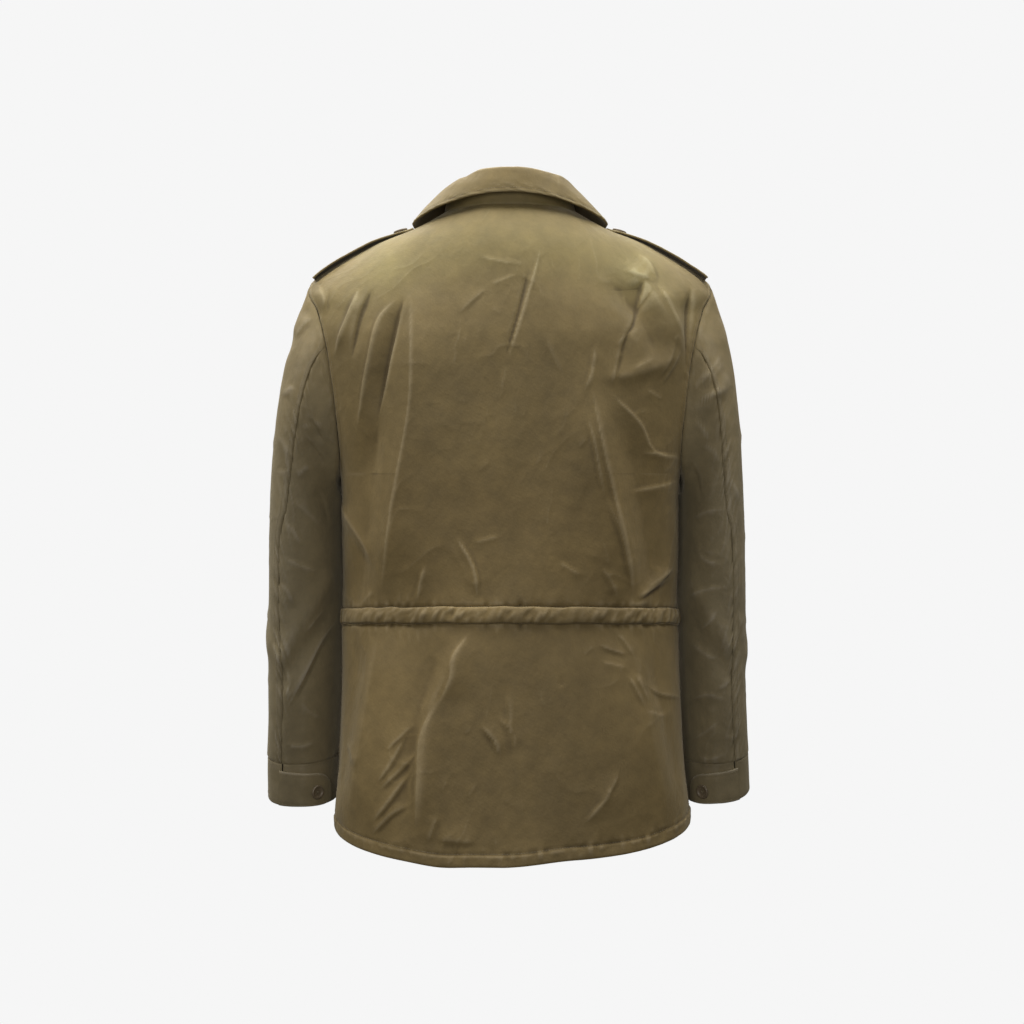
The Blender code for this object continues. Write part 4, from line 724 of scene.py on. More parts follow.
def seam_shape(d, s, seed, band=0.0085, pucker=0.00045):
    """Height beside a lapped, twice stitched seam: d from it, s along it."""
    mm = d * 1000
    h = -0.0006 * np.exp(-(mm / 1.1) ** 1.6)
    h += 0.00060 * (ease(mm, 0.4, 1.8) - ease(mm, band * 1000 - 1.0, band * 1000 + 1.2))
    h -= 0.00034 * np.exp(-((mm - 2.0) / 0.9) ** 2) + 0.00030 * np.exp(-((mm - band * 1000 + 1.6) / 0.9) ** 2)
    wave = noise(s * 1000 / 4.6, mm / 9, seed) + 0.6 * noise(s * 1000 / 9.5, mm / 16, seed + 1)
    near = np.exp(-(mm / 12.0) ** 1.4) * (0.35 + 0.65 * ease(noise(s * 1000 / 38, 0.0, seed + 2), -0.7, 0.6))
    return h + pucker * wave * near


# ------------------------------------------------------------------ meshes
def triangles(obj):
    obj.data.calc_loop_triangles()
    return len(obj.data.loop_triangles)


def new_object(name, verts, faces, material, smooth=True):
    mesh = bpy.data.meshes.new(name)
    mesh.from_pydata([tuple(map(float, v)) for v in verts], [], faces)
    mesh.update()
    obj = bpy.data.objects.new(name, mesh)
    bpy.context.scene.collection.objects.link(obj)
    mesh.materials.append(material)
    if smooth:
        mesh.polygons.foreach_set("use_smooth", [True] * len(mesh.polygons))
    return obj


def shell(name, outer, out, wall, material, node=None, wear_and_painted_light=None, uv=None, inner_step=3, dye_and_light_lift=True):
    """A closed thin shell: a fine outer face, a coarser inner one and a rim."""
    rows, cols = outer.shape[:2]
    keep_r = sorted(set(list(range(0, rows - 1, inner_step)) + [rows - 1]))
    keep_c = sorted(set(list(range(0, cols - 1, inner_step)) + [cols - 1]))
    inner = (outer - wall * out)[np.ix_(keep_r, keep_c)]
    n_out = rows * cols
    verts = [outer.reshape(-1, 3), inner.reshape(-1, 3)]
    index = np.arange(n_out).reshape(rows, cols)
    low = n_out + np.arange(inner.shape[0] * inner.shape[1]).reshape(inner.shape[:2])
    quads = np.stack([index[:-1, :-1], index[:-1, 1:], index[1:, 1:], index[1:, :-1]], -1).reshape(-1, 4)
    quads_low = np.stack([low[:-1, :-1], low[1:, :-1], low[1:, 1:], low[:-1, 1:]], -1).reshape(-1, 4)
    a, b, c = outer[0, 0], outer[0, 1], outer[1, 0]
    flip = np.dot(np.cross(b - a, c - a), out[0, 0]) < 0
    mid = (rows // 2, cols // 2)
    a, b, c = outer[mid], outer[mid[0], mid[1] + 1], outer[mid[0] + 1, mid[1]]
    flip = np.dot(np.cross(b - a, c - a), out[mid]) < 0
    faces = []
    for q in (quads, quads_low):
        faces += (q[:, ::-1] if flip else q).tolist()
    rims = []
    def side(line_out, kept, line_low, keep_index, turned):
        for k in range(len(kept) - 1):
            i0, i1 = kept[k], kept[k + 1]
            f = [int(v) for v in line_out[i0:i1 + 1]][::-1] + [int(line_low[k]), int(line_low[k + 1])]
            rims.append(f[::-1] if turned else f)
    side(index[0], keep_c, low[0], None, flip)
    side(index[-1], keep_c, low[-1], None, not flip)
    side(index[:, 0], keep_r, low[:, 0], None, not flip)
    side(index[:, -1], keep_r, low[:, -1], None, flip)
    faces += rims
    obj = new_object(name, np.concatenate(verts), faces, material)
    mesh = obj.data
    if uv is not None:
        layer = mesh.uv_layers.new(name="cloth")
        full = np.concatenate([uv.reshape(-1, 2), uv[np.ix_(keep_r, keep_c)].reshape(-1, 2)])
        loops = np.zeros(len(mesh.loops), dtype=np.int32)
        mesh.loops.foreach_get("vertex_index", loops)
        layer.data.foreach_set("uv", full[loops].astype(np.float32).ravel())
    # The wear attribute: crests paler, partly wear and partly painted highlight; hollows darker, painted shade.
    values = np.zeros(len(mesh.vertices), dtype=np.float32)
    if wear_and_painted_light is not None:
        values[:n_out] = wear_and_painted_light.reshape(-1)
    attribute = mesh.attributes.new("wear_and_painted_light", "FLOAT", "POINT")
    attribute.data.foreach_set("value", values)
    # The fade attribute: paler or darker cloth, partly wear and partly painted light and shade, with an extra lift of
    # painted light where the lift is above one.
    fade = np.zeros(len(mesh.vertices), dtype=np.float32)
    if dye_and_light_lift:
        fade[:n_out] = dye_and_painted_light(outer, out).reshape(-1) + (float(dye_and_light_lift) - 1.0)
    attribute = mesh.attributes.new("fade", "FLOAT", "POINT")
    attribute.data.foreach_set("value", fade)
    inside = np.ones(len(mesh.vertices), dtype=np.float32)
    inside[:n_out] = 0
    attribute = mesh.attributes.new("inside", "FLOAT", "POINT")
    attribute.data.foreach_set("value", inside)
    mesh.set_sharp_from_angle(angle=math.radians(65))
    finish(obj, node)
    return obj


def finish(obj, node=None):
    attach(obj, "root")
    if node:
        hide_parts(*([node] if isinstance(node, str) else node))


def cut(obj, flat, held, rests_on=(), area=None):
    """Takes a piece's flat cut and does nothing with it."""
    mesh = obj.data


def crest_wear_and_hollow_shade(outer, out, strength=1.0):
    """Paler where the cloth stands proud of its neighbourhood, partly wear and partly painted highlight, and darker in
    its hollows as painted shade, 0 to 1.
    """
    smooth = outer.copy()
    for _ in range(6):
        smooth[1:-1, 1:-1] = (smooth[:-2, 1:-1] + smooth[2:, 1:-1] + smooth[1:-1, :-2]
                              + smooth[1:-1, 2:] + 2 * smooth[1:-1, 1:-1]) / 6
    proud = ((outer - smooth) * out).sum(axis=-1) * 1000
    return np.clip(0.5 + strength * 0.70 * proud, 0, 1)


STITCHES = []            # (group, points, direction along, direction out)


def on_grid(grid, i, j):
    """A grid's values at fractional rows and columns."""
    i = np.clip(i, 0, grid.shape[0] - 1.001)
    j = np.clip(j, 0, grid.shape[1] - 1.001)
    i0, j0 = i.astype(int), j.astype(int)
    fi, fj = (i - i0)[..., None], (j - j0)[..., None]
    return ((grid[i0, j0] * (1 - fi) + grid[i0 + 1, j0] * fi) * (1 - fj)
            + (grid[i0, j0 + 1] * (1 - fi) + grid[i0 + 1, j0 + 1] * fi) * fj)


def stitch_line(group, grid, normal, i, j, pitch=0.0032, start=0.0, stop=1.0):
    """Marks stitches along fractional rows and columns of a finished grid."""
    i, j = np.broadcast_arrays(np.asarray(i, float), np.asarray(j, float))
    pts, nrm = on_grid(grid, i, j), on_grid(normal, i, j)
    s = np.concatenate([[0.0], np.cumsum(np.linalg.norm(np.diff(pts, axis=0), axis=-1))])
    n = int((stop - start) * s[-1] / pitch)
    if n < 1:
        return
    at = start * s[-1] + (np.arange(n) + 0.5) * pitch
    def read(v, w):
        return np.stack([np.interp(w, s, v[:, k]) for k in range(3)], -1)
    ends = read(pts, at - 0.36 * pitch), read(pts, at + 0.36 * pitch)
    STITCHES.append((group, ends[0], ends[1], unit(read(nrm, at))))


def build_stitches(material):
    """All stitches of a group as one mesh: each a short bent thread."""
    sides = 5
    shape = [(0.0, 0.15, -0.00028), (0.22, 1.0, 0.00006), (0.5, 1.1, 0.00014), (0.78, 1.0, 0.00006), (1.0, 0.15, -0.00028)]
    radius = 0.00027
    groups = {}
    for group, a, b, n in STITCHES:
        groups.setdefault(group, []).append((a, b, n))
    for group, runs in groups.items():
        a = np.concatenate([r[0] for r in runs])
        b = np.concatenate([r[1] for r in runs])
        n = np.concatenate([r[2] for r in runs])
        run = unit(b - a)
        cross = unit(np.cross(run, n))
        verts, faces = [], []
        rings = []
        for f, size, lift in shape:
            c = a * (1 - f) + b * f + lift * n
            for k in range(sides):
                w = 2 * math.pi * k / sides
                rings.append(c + radius * size * (math.cos(w) * cross + 0.8 * math.sin(w) * n))
        block = np.stack(rings, axis=1)                      # stitches, rings*sides, 3
        per = block.shape[1]
        pattern = []
        for ring in range(len(shape) - 1):
            for k in range(sides):
                p0, p1 = ring * sides + k, ring * sides + (k + 1) % sides
                pattern.append((p0, p1, p1 + sides, p0 + sides))
        pattern = np.array(pattern)
        offset = (np.arange(len(a)) * per)[:, None, None]
        faces = (pattern[None] + offset).reshape(-1, 4).tolist()
        obj = new_object("stitches_" + group, block.reshape(-1, 3), faces, material)
        finish(obj)


# ------------------------------------------------------------------ materials
def nodes_of(name):
    mat = bpy.data.materials.new(name)
    mat.use_nodes = True
    tree = mat.node_tree
    return mat, tree, tree.nodes, tree.links, tree.nodes["Principled BSDF"]


def math_node(nodes, links, op, a, b=None, c=None):
    n = nodes.new("ShaderNodeMath")
    n.operation = op
    for k, v in enumerate((a, b, c)):
        if v is None:
            continue
        if isinstance(v, (int, float)):
            n.inputs[k].default_value = v
        else:
            links.new(v, n.inputs[k])
    return n.outputs[0]


def mix_colour(nodes, links, factor, a, b, blend="MIX"):
    n = nodes.new("ShaderNodeMix")
    n.data_type = "RGBA"
    n.blend_type = blend
    for socket, v in ((n.inputs[0], factor), (n.inputs[6], a), (n.inputs[7], b)):
        if isinstance(v, (int, float)):
            socket.default_value = v
        elif isinstance(v, tuple):
            socket.default_value = v
        else:
            links.new(v, socket)
    return n.outputs[2]


def cloth_material(name, base, worn_and_highlit, crease_shade, sheen=0.22, roughness=0.70, lower_sheen_tint=(1.0, 0.966, 0.955, 1.0)):
    """Cotton sateen: fine diagonal weave, mottled dye, crests painted paler (partly wear, partly highlight), hollows
    painted with shade, and broad painted light and shade.
    """
    mat, tree, nodes, links, shader = nodes_of(name)
    coord = nodes.new("ShaderNodeTexCoord")
    uv = nodes.new("ShaderNodeUVMap")
    uv.uv_map = "cloth"
    def tex_noise(scale, detail, vector, rough=0.55):
        n = nodes.new("ShaderNodeTexNoise")
        n.inputs["Scale"].default_value = scale
        n.inputs["Detail"].default_value = detail
        n.inputs["Roughness"].default_value = rough
        links.new(vector, n.inputs["Vector"])
        return n.outputs["Fac"]
    obj_co = coord.outputs["Object"]
    broad = tex_noise(14.0, 5.0, obj_co, 0.62)
    blotch = tex_noise(60.0, 4.0, obj_co, 0.6)
    fibre_map = nodes.new("ShaderNodeMapping")
    fibre_map.inputs["Scale"].default_value = (2600.0, 420.0, 1.0)
    links.new(uv.outputs[0], fibre_map.inputs["Vector"])
    fibre = tex_noise(1.0, 2.0, fibre_map.outputs[0])
    weft_map = nodes.new("ShaderNodeMapping")
    weft_map.inputs["Scale"].default_value = (300.0, 1900.0, 1.0)
    links.new(uv.outputs[0], weft_map.inputs["Vector"])
    weft = tex_noise(1.0, 2.0, weft_map.outputs[0])
    twill_map = nodes.new("ShaderNodeMapping")
    twill_map.inputs["Rotation"].default_value = (0, 0, math.radians(63))
    links.new(uv.outputs[0], twill_map.inputs["Vector"])
    twill = nodes.new("ShaderNodeTexWave")
    twill.wave_type, twill.bands_direction, twill.wave_profile = "BANDS", "X", "SIN"
    twill.inputs["Scale"].default_value = 1000.0 / 0.6 / (2 * math.pi) * (math.pi / 10)
    twill.inputs["Distortion"].default_value = 1.2
    twill.inputs["Detail"].default_value = 1.0
    twill.inputs["Detail Scale"].default_value = 2.0
    links.new(twill_map.outputs[0], twill.inputs["Vector"])
    wear_and_painted_light = nodes.new("ShaderNodeAttribute")
    wear_and_painted_light.attribute_name = "wear_and_painted_light"
    inside = nodes.new("ShaderNodeAttribute")
    inside.attribute_name = "inside"
    # colour
    tone = math_node(nodes, links, "MULTIPLY_ADD", broad, 0.60, 0.70)
    tone = math_node(nodes, links, "MULTIPLY", tone, math_node(nodes, links, "MULTIPLY_ADD", blotch, 0.48, 0.76))
    tone = math_node(nodes, links, "MULTIPLY", tone, math_node(nodes, links, "MULTIPLY_ADD", fibre, 0.16, 0.92))
    tone = math_node(nodes, links, "MULTIPLY", tone, math_node(nodes, links, "MULTIPLY_ADD", weft, 0.12, 0.94))
    # Crests mix towards the paler colour, partly wear and partly painted highlight; hollows mix towards the darker
    # colour, painted shade in the creases.
    high = nodes.new("ShaderNodeMapRange")
    high.inputs["From Min"].default_value, high.inputs["From Max"].default_value = 0.56, 0.95
    links.new(wear_and_painted_light.outputs["Fac"], high.inputs["Value"])
    low = nodes.new("ShaderNodeMapRange")
    low.inputs["From Min"].default_value, low.inputs["From Max"].default_value = 0.44, 0.05
    links.new(wear_and_painted_light.outputs["Fac"], low.inputs["Value"])
    ragged = math_node(nodes, links, "MULTIPLY_ADD", tex_noise(420.0, 3.0, obj_co), 1.2, 0.4)
    up = math_node(nodes, links, "MULTIPLY", high.outputs[0], ragged)
    colour = mix_colour(nodes, links, up, base, worn_and_highlit)
    colour = mix_colour(nodes, links, low.outputs[0], colour, crease_shade)
    # Below the shoulders, on the back and sides, the colour is multiplied by the lower tint: painted sheen, which greys
    # and blues the arms' copy and leaves the torso's top greyer than its lower back.
    split = nodes.new("ShaderNodeSeparateXYZ")
    links.new(obj_co, split.inputs[0])
    down = nodes.new("ShaderNodeMapRange")
    down.inputs["From Min"].default_value, down.inputs["From Max"].default_value = -0.08, -0.34
    links.new(split.outputs["Z"], down.inputs["Value"])
    ahead = nodes.new("ShaderNodeMapRange")
    ahead.inputs["From Min"].default_value, ahead.inputs["From Max"].default_value = -0.015, -0.075
    links.new(split.outputs["Y"], ahead.inputs["Value"])
    hue = mix_colour(nodes, links, ahead.outputs[0], lower_sheen_tint, (1.02, 1.00, 1.03, 1.0))
    hue = mix_colour(nodes, links, down.outputs[0], (1.0, 1.0, 1.0, 1.0), hue)
    colour = mix_colour(nodes, links, 1.0, colour, hue, "MULTIPLY")
    grey = nodes.new("ShaderNodeCombineColor")
    for k in range(3):
        links.new(tone, grey.inputs[k])
    colour = mix_colour(nodes, links, 1.0, colour, grey.outputs[0], "MULTIPLY")
    # The fade attribute scales the colour: paler or darker areas, partly wear and partly painted light and shade.  Near
    # the top its paler part is also greyed, partly faded dye and partly painted sheen from above.
    fade = nodes.new("ShaderNodeAttribute")
    fade.attribute_name = "fade"
    scale = nodes.new("ShaderNodeVectorMath")
    scale.operation = "SCALE"
    links.new(colour, scale.inputs[0])
    links.new(math_node(nodes, links, "ADD", fade.outputs["Fac"], 1.0), scale.inputs["Scale"])
    pale_and_sheen = math_node(nodes, links, "MINIMUM", math_node(nodes, links, "MAXIMUM", fade.outputs["Fac"], 0.0), 0.4)
    pale_and_sheen = math_node(nodes, links, "MULTIPLY", pale_and_sheen, math_node(nodes, links, "SUBTRACT", 1.0, down.outputs[0]))
    tint = nodes.new("ShaderNodeCombineColor")
    tint.inputs["Red"].default_value = 1.0
    links.new(math_node(nodes, links, "MULTIPLY_ADD", pale_and_sheen, 0.26, 1.0), tint.inputs["Green"])
    links.new(math_node(nodes, links, "MULTIPLY_ADD", pale_and_sheen, 0.20, 1.0), tint.inputs["Blue"])
    colour = mix_colour(nodes, links, 1.0, scale.outputs[0], tint.outputs[0], "MULTIPLY")
    links.new(colour, shader.inputs["Base Color"])
    # bump
    weave = math_node(nodes, links, "ADD", math_node(nodes, links, "MULTIPLY", twill.outputs["Fac"], 0.000012),
                      math_node(nodes, links, "MULTIPLY", fibre, 0.000015))
    crinkle_map = nodes.new("ShaderNodeMapping")
    crinkle_map.inputs["Scale"].default_value = (1.0, 1.0, 0.7)
    links.new(obj_co, crinkle_map.inputs["Vector"])
    crinkle = tex_noise(85.0, 5.0, crinkle_map.outputs[0], 0.55)
    height = math_node(nodes, links, "MULTIPLY_ADD", crinkle, 0.00050, weave)
    drape_map = nodes.new("ShaderNodeMapping")
    drape_map.inputs["Scale"].default_value = (1.0, 1.0, 0.55)
    drape_map.inputs["Rotation"].default_value = (0.0, math.radians(24), 0.0)
    links.new(obj_co, drape_map.inputs["Vector"])
    rumple = tex_noise(34.0, 4.0, drape_map.outputs[0], 0.58)
    height = math_node(nodes, links, "MULTIPLY_ADD", rumple, 0.00130, height)
    fine = tex_noise(240.0, 4.0, crinkle_map.outputs[0], 0.6)
    height = math_node(nodes, links, "MULTIPLY_ADD", fine, 0.00020, height)
    bump = nodes.new("ShaderNodeBump")
    bump.inputs["Strength"].default_value = 1.0
    bump.inputs["Distance"].default_value = 1.0
    links.new(height, bump.inputs["Height"])
    links.new(bump.outputs[0], shader.inputs["Normal"])
    links.new(math_node(nodes, links, "MULTIPLY_ADD", blotch, 0.12, roughness - 0.06), shader.inputs["Roughness"])
    shader.inputs["Specular IOR Level"].default_value = 0.35
    shader.inputs["Sheen Weight"].default_value = sheen
    shader.inputs["Sheen Roughness"].default_value = 0.45
    shader.inputs["Sheen Tint"].default_value = (0.95, 0.86, 0.66, 1.0)
    return mat


def thread_material():
    mat, tree, nodes, links, shader = nodes_of("thread")
    coord = nodes.new("ShaderNodeTexCoord")
    n = nodes.new("ShaderNodeTexNoise")
    n.inputs["Scale"].default_value = 900.0
    links.new(coord.outputs["Object"], n.inputs["Vector"])
    colour = mix_colour(nodes, links, n.outputs["Fac"], (0.150, 0.118, 0.060, 1), (0.205, 0.165, 0.092, 1))
    links.new(colour, shader.inputs["Base Color"])
    shader.inputs["Roughness"].default_value = 0.6
    shader.inputs["Sheen Weight"].default_value = 0.2
    return mat


def button_material():
    mat, tree, nodes, links, shader = nodes_of("button_plastic")
    coord = nodes.new("ShaderNodeTexCoord")
    n = nodes.new("ShaderNodeTexNoise")
    n.inputs["Scale"].default_value = 210.0
    n.inputs["Detail"].default_value = 4.0
    links.new(coord.outputs["Object"], n.inputs["Vector"])
    colour = mix_colour(nodes, links, n.outputs["Fac"], (0.125, 0.096, 0.060, 1), (0.185, 0.145, 0.095, 1))
    links.new(colour, shader.inputs["Base Color"])
    bump = nodes.new("ShaderNodeBump")
    bump.inputs["Strength"].default_value = 0.15
    bump.inputs["Distance"].default_value = 0.0003
    links.new(n.outputs["Fac"], bump.inputs["Height"])
    links.new(bump.outputs[0], shader.inputs["Normal"])
    shader.inputs["Roughness"].default_value = 0.42
    return mat


# Colours: the base, the paler crest colour (partly wear, partly painted highlight) and the darker colour of painted
# shade in the hollows.  The arms' copy differs only in its lower tint, painted sheen.
CLOTH = cloth_material("khaki_sateen", (0.190, 0.140, 0.0560, 1), (0.270, 0.212, 0.110, 1), (0.105, 0.075, 0.030, 1))
ARM_CLOTH = cloth_material("khaki_sateen_arms_painted_sheen", (0.190, 0.140, 0.0560, 1), (0.270, 0.212, 0.110, 1), (0.105, 0.075, 0.030, 1),
                           lower_sheen_tint=(1.12, 1.23, 1.72, 1.0))
THREAD = thread_material()
PLASTIC = button_material()

CELL = 0.0023       # size of the back's cells
WIDE = 0.0029       # size of the other panels' cells
ARM = 0.0024        # size of the sleeves' cells


# ------------------------------------------------------------------ torso
def torso_t_rows(cell):
    to_t, length = by_length(lambda t: torso_plain(np.zeros_like(t) + 20.0, t), 0.0, T_NECK, 1200)
    rows = to_t(spread(length, cell))
    for turn, way in ((T_UNDERARM, 1), (T_TIP, -1)):
        extra = turn + way * np.array([0.0, 0.004, 0.014])
        near = rows[(np.abs(rows - turn) < 0.045)]
        rows = np.setdiff1d(rows, near)
        rows = np.sort(np.concatenate([rows, extra, [turn + way * 0.045]]))
    return rows, length


def arc_share():
    """Share of the half ring's length at each torso angle, and its inverse."""
    phi = np.linspace(0.0, 180.0, 721)
    p = torso_plain(phi, np.full_like(phi, 2.6))
    s = np.concatenate([[0.0], np.cumsum(np.linalg.norm(np.diff(p, axis=0), axis=-1))])
    s = s / np.interp(90.0, phi, s)
    return (lambda x: np.sign(x) * np.interp(np.abs(x), phi, s),
            lambda v: np.sign(v) * np.interp(np.abs(v), s, phi))


TO_SHARE, TO_ANGLE = arc_share()


def front_angle(away):
    """Degrees from the centre front at a share of the ring's length from it."""
    whole = TO_SHARE(np.array([180.0]))[0]
    return 180.0 - TO_ANGLE(whole - away)


TO_FRONT = front_angle
BACK_LENGTH, FRONT_LENGTH = (np.linalg.norm(np.diff(torso_plain(np.linspace(lo, lo + 90.0, 200), np.full(200, 2.6)),
                                                    axis=0), axis=-1).sum() for lo in (0.0, 90.0))


def fixed_inside(u, edge, full, start=0.3, power=1.5):
    """Places for u from 0 to 1 that stay put near 0 and give way near the edge."""
    g = np.clip((u - start) / (1 - start), 0, 1) ** power
    return u * full - (full - edge) * g


def torso_panel_grid(name, cell):
    t, _ = torso_t_rows(cell)
    full = TO_SHARE(np.array([90.0]))[0]
    if name == "back":
        u = spread(2 * BACK_LENGTH, cell)[None, :] * 2 - 1
        edge = TO_SHARE(armhole_edge(t, ARMHOLE_BACK))[:, None]
        phi = TO_ANGLE(np.sign(u) * fixed_inside(np.abs(u), edge, full))
    else:
        u = spread(FRONT_LENGTH, cell)[None, :]
        u = u[:, ::-1] if name == "front_left" else -u
        away = TO_SHARE(np.array([180.0]))[0] - full
        edge = away - (TO_SHARE(180.0 - armhole_edge(t, ARMHOLE_FRONT)) - full)[:, None]
        phi = 180.0 - TO_FRONT(fixed_inside(np.abs(u), edge, away))
        if name == "front_right":
            phi = -phi
    return phi, np.broadcast_to(t[:, None], phi.shape)


def channel_pinch(t, v=None):
    """How the panel is drawn in at the two stitched edges of the channel."""
    d = np.abs(np.abs(t - T_WAIST) - CHANNEL_HALF) * 0.139      # about metres
    inside = np.abs(t - T_WAIST) < CHANNEL_HALF
    return -0.0009 * np.exp(-(d / 0.0045) ** 1.5) - 0.0012 * inside


def draw_edges(grid, sides, step=SEAM / 2):
    grid = grid.copy()
    if "first_row" in sides:
        grid[0] += step * unit(grid[1] - grid[0])
    if "last_row" in sides:
        grid[-1] += step * unit(grid[-2] - grid[-1])
    if "first_column" in sides:
        grid[:, 0] += step * unit(grid[:, 1] - grid[:, 0])
    if "last_column" in sides:
        grid[:, -1] += step * unit(grid[:, -2] - grid[:, -1])
    return grid


def hem_shape(d, s, seed):
    """The turned hem: a doubled band to its stitch line, puckered there."""
    mm = d * 1000
    h = 0.00090 * (1 - ease(mm, 14.0, 16.5)) - 0.0010 * np.exp(-((mm - 15.2) / 1.4) ** 2)
    h -= 0.0007 * np.exp(-(mm / 1.2) ** 1.5)
    wave = noise(s * 1000 / 6.5, mm / 12, seed) + 0.7 * noise(s * 1000 / 13 + mm / 30, mm / 26, seed + 1)
    near = np.exp(-((mm - 13.0) / 9.0) ** 2) * (0.4 + 0.6 * ease(noise(s * 1000 / 46, 0.0, seed + 2), -0.6, 0.6))
    return h + 0.00105 * wave * near


def channel_ripple(t, s, seed):
    """Small gathers above and below the drawcord channel."""
    d = (np.abs(t - T_WAIST) - CHANNEL_HALF) * 139.0            # about mm
    mm = np.clip(d, 0, None)
    wave = noise(s * 1000 / 5.6, mm / 18, seed) + 0.8 * noise(s * 1000 / 12, mm / 30, seed + 1)
    uneven = 0.35 + 0.65 * ease(noise(s * 1000 / 55, 0.0, seed + 2), -0.6, 0.5)
    return 0.00120 * wave * np.exp(-(mm / 14.0) ** 1.2) * (d > -2) * uneven


def build_torso():
    made = {}
    specs = [
        ("back", CELL, (0.58, 0.81), 0.41),
        ("front_left", WIDE, (0.30, 0.75), 0.19),
        ("front_right", WIDE, (0.30, 0.75), 0.19),
    ]
    for name, cell, flat, area in specs:
        phi, t = torso_panel_grid(name, cell)
        p, out = torso_cloth(phi, t)
        along_rows, along_cols = run_lengths(p, 0), run_lengths(p, 1)
        left_d, right_d = along_cols, along_cols[:, -1:] - along_cols
        h = channel_pinch(t) + channel_ripple(t, along_cols, 61 + len(name))
        h += hem_shape(along_rows, along_cols, 71 + len(name))
        upper = ease(t, T_UNDERARM - 0.3, T_UNDERARM + 0.3)
        for d, seed, middle in ((left_d, 81, name == "front_right"), (right_d, 91, name == "front_left")):
            if middle:
                continue
            strength = 0.45 + 0.55 * upper
            strength = strength * (1 - ease(t, T_NECK - 0.6, T_NECK)) * ease(np.abs(t - T_WAIST), CHANNEL_HALF, CHANNEL_HALF + 0.08)
            h += seam_shape(d, along_rows, seed + len(name)) * strength
        p = p + h[..., None] * out
        p = draw_edges(p, ("first_column", "last_column", "last_row"))
        normal = grid_normals(p, out)
        wear_and_painted_light = crest_wear_and_hollow_shade(p, out)
        uv = np.stack([along_cols - along_cols[:, -1:] / 2, along_rows], -1)
        obj = shell("cloth_" + name, p, out, SHELL, CLOTH, name, wear_and_painted_light, uv)
        cut(obj, flat, "hung", [], area=area)
        made[name] = dict(p=p, n=normal, t=t, phi=phi, rows=along_rows, left=left_d, right=right_d, obj=obj)
    return made


def level(field, value):
    """For each column, the fractional row where a rising field has a value."""
    out = []
    for j in range(field.shape[1]):
        out.append(np.interp(value, field[:, j], np.arange(field.shape[0])))
    return np.array(out)


def stitch_torso(made):
    for name, g in made.items():
        i = level(g["rows"], 0.0152)
        stitch_line("hem_" + name, g["p"], g["n"], i, np.arange(g["p"].shape[1]), stop=1.0)
        rows = g["t"][:, 0]
        for key, middle in (("left", name == "front_right"), ("right", name == "front_left")):
            if middle:
                continue
            for d in (0.0020, 0.0069):
                for lo, hi in ((0.14, T_WAIST - CHANNEL_HALF - 0.02), (T_WAIST + CHANNEL_HALF + 0.02, T_NECK - 0.35)):
                    pick = np.flatnonzero((rows >= lo) & (rows <= hi))
                    if key == "left":
                        j = np.array([np.interp(d, g["left"][k], np.arange(g["left"].shape[1])) for k in pick])
                    else:
                        j = np.array([np.interp(-d, -g["right"][k], np.arange(g["right"].shape[1])) for k in pick])
                    stitch_line("seams_" + name, g["p"], g["n"], pick, j)


# ------------------------------------------------------------------ channel
def build_channel(made):
    """The drawcord channel: a gathered tube stitched along both its edges."""
    cell = 0.0020
    for name, node in (("back", "waist_channel_back"), ("front_left", "waist_channel_front_left"),
                       ("front_right", "waist_channel_front_right")):
        g = made[name]
        if name == "back":
            first, last = -90.0, 90.0
        else:
            stop = placket_edge(np.array([T_WAIST]), PLACKET_HALF_WIDTH + 0.004)[0]
            first, last = (90.0, stop) if name == "front_left" else (-stop, -90.0)
        width = 0.53 if name == "back" else 0.235
        n = int(width / cell)
        a, b = TO_SHARE(np.array([first]))[0], TO_SHARE(np.array([last]))[0]
        phi = TO_ANGLE(np.linspace(a, b, n + 1))[None, :]
        v = np.array([-1.0, -0.97, -0.92, -0.86, -0.80, -0.72, -0.60, -0.46, -0.30, -0.15, 0.0,
                      0.15, 0.30, 0.46, 0.60, 0.72, 0.80, 0.86, 0.92, 0.97, 1.0])[:, None]
        t = T_WAIST + CHANNEL_HALF * v
        phi, t = np.broadcast_arrays(phi, t)
        p, out = torso_cloth(phi, t)
        s = run_lengths(p, 1) * 1000
        shape = np.sqrt(np.clip(1 - (v / 0.90) ** 2, 0, 1)) ** 0.9
        flange = ease(np.abs(v), 0.90, 1.0)
        lean = s + 5.0 * v
        gather = noise(lean / 5.0, v * 1.2, 101) + 0.8 * noise(lean / 10.5, v * 0.8, 102)
        gather = gather * (0.35 + 0.65 * ease(noise(s / 48, 0.0, 103), -0.5, 0.6))
        edge = noise(s / 4.2, v * 2.0, 104)
        plump = 1 - 0.75 * ease(-np.abs(np.abs(phi) - 90.0), -26.0, -4.0)
        h = LAP + 0.0009 + 0.0032 * shape * plump + 0.00135 * gather * (0.40 + 0.60 * shape) \
            + 0.00025 * edge * (1 - shape) - 0.0010 * np.exp(-((np.abs(v) - 0.90) / 0.06) ** 2)
        wander = 0.0010 * noise(s / 17, 0.0, 105) * np.ones_like(v)
        base = p + h[..., None] * out
        base[..., 2] += wander
        sides = ("first_column", "last_column")
        base = draw_edges(base, sides)
        # Paler over the tube's round: partly wear, partly painted highlight.
        wear_and_painted_light = np.clip(crest_wear_and_hollow_shade(base, out, 1.0) + 0.10 * shape, 0, 1)
        uv = np.stack([s / 1000, v * 0.0125 + np.zeros_like(s)], -1)
        wall = 0.0012
        obj = shell("cloth_" + node, base, out, wall, CLOTH, node, wear_and_painted_light, uv)
        cut(obj, (width * 1.04 + 0.01, 0.030), "gathered", [made[name]["obj"]])
        normal = grid_normals(base, out)
        for row in (2.4, 17.6):
            stitch_line("channel_" + name, base, normal, np.full(n + 1, row), np.arange(n + 1), pitch=0.0030)


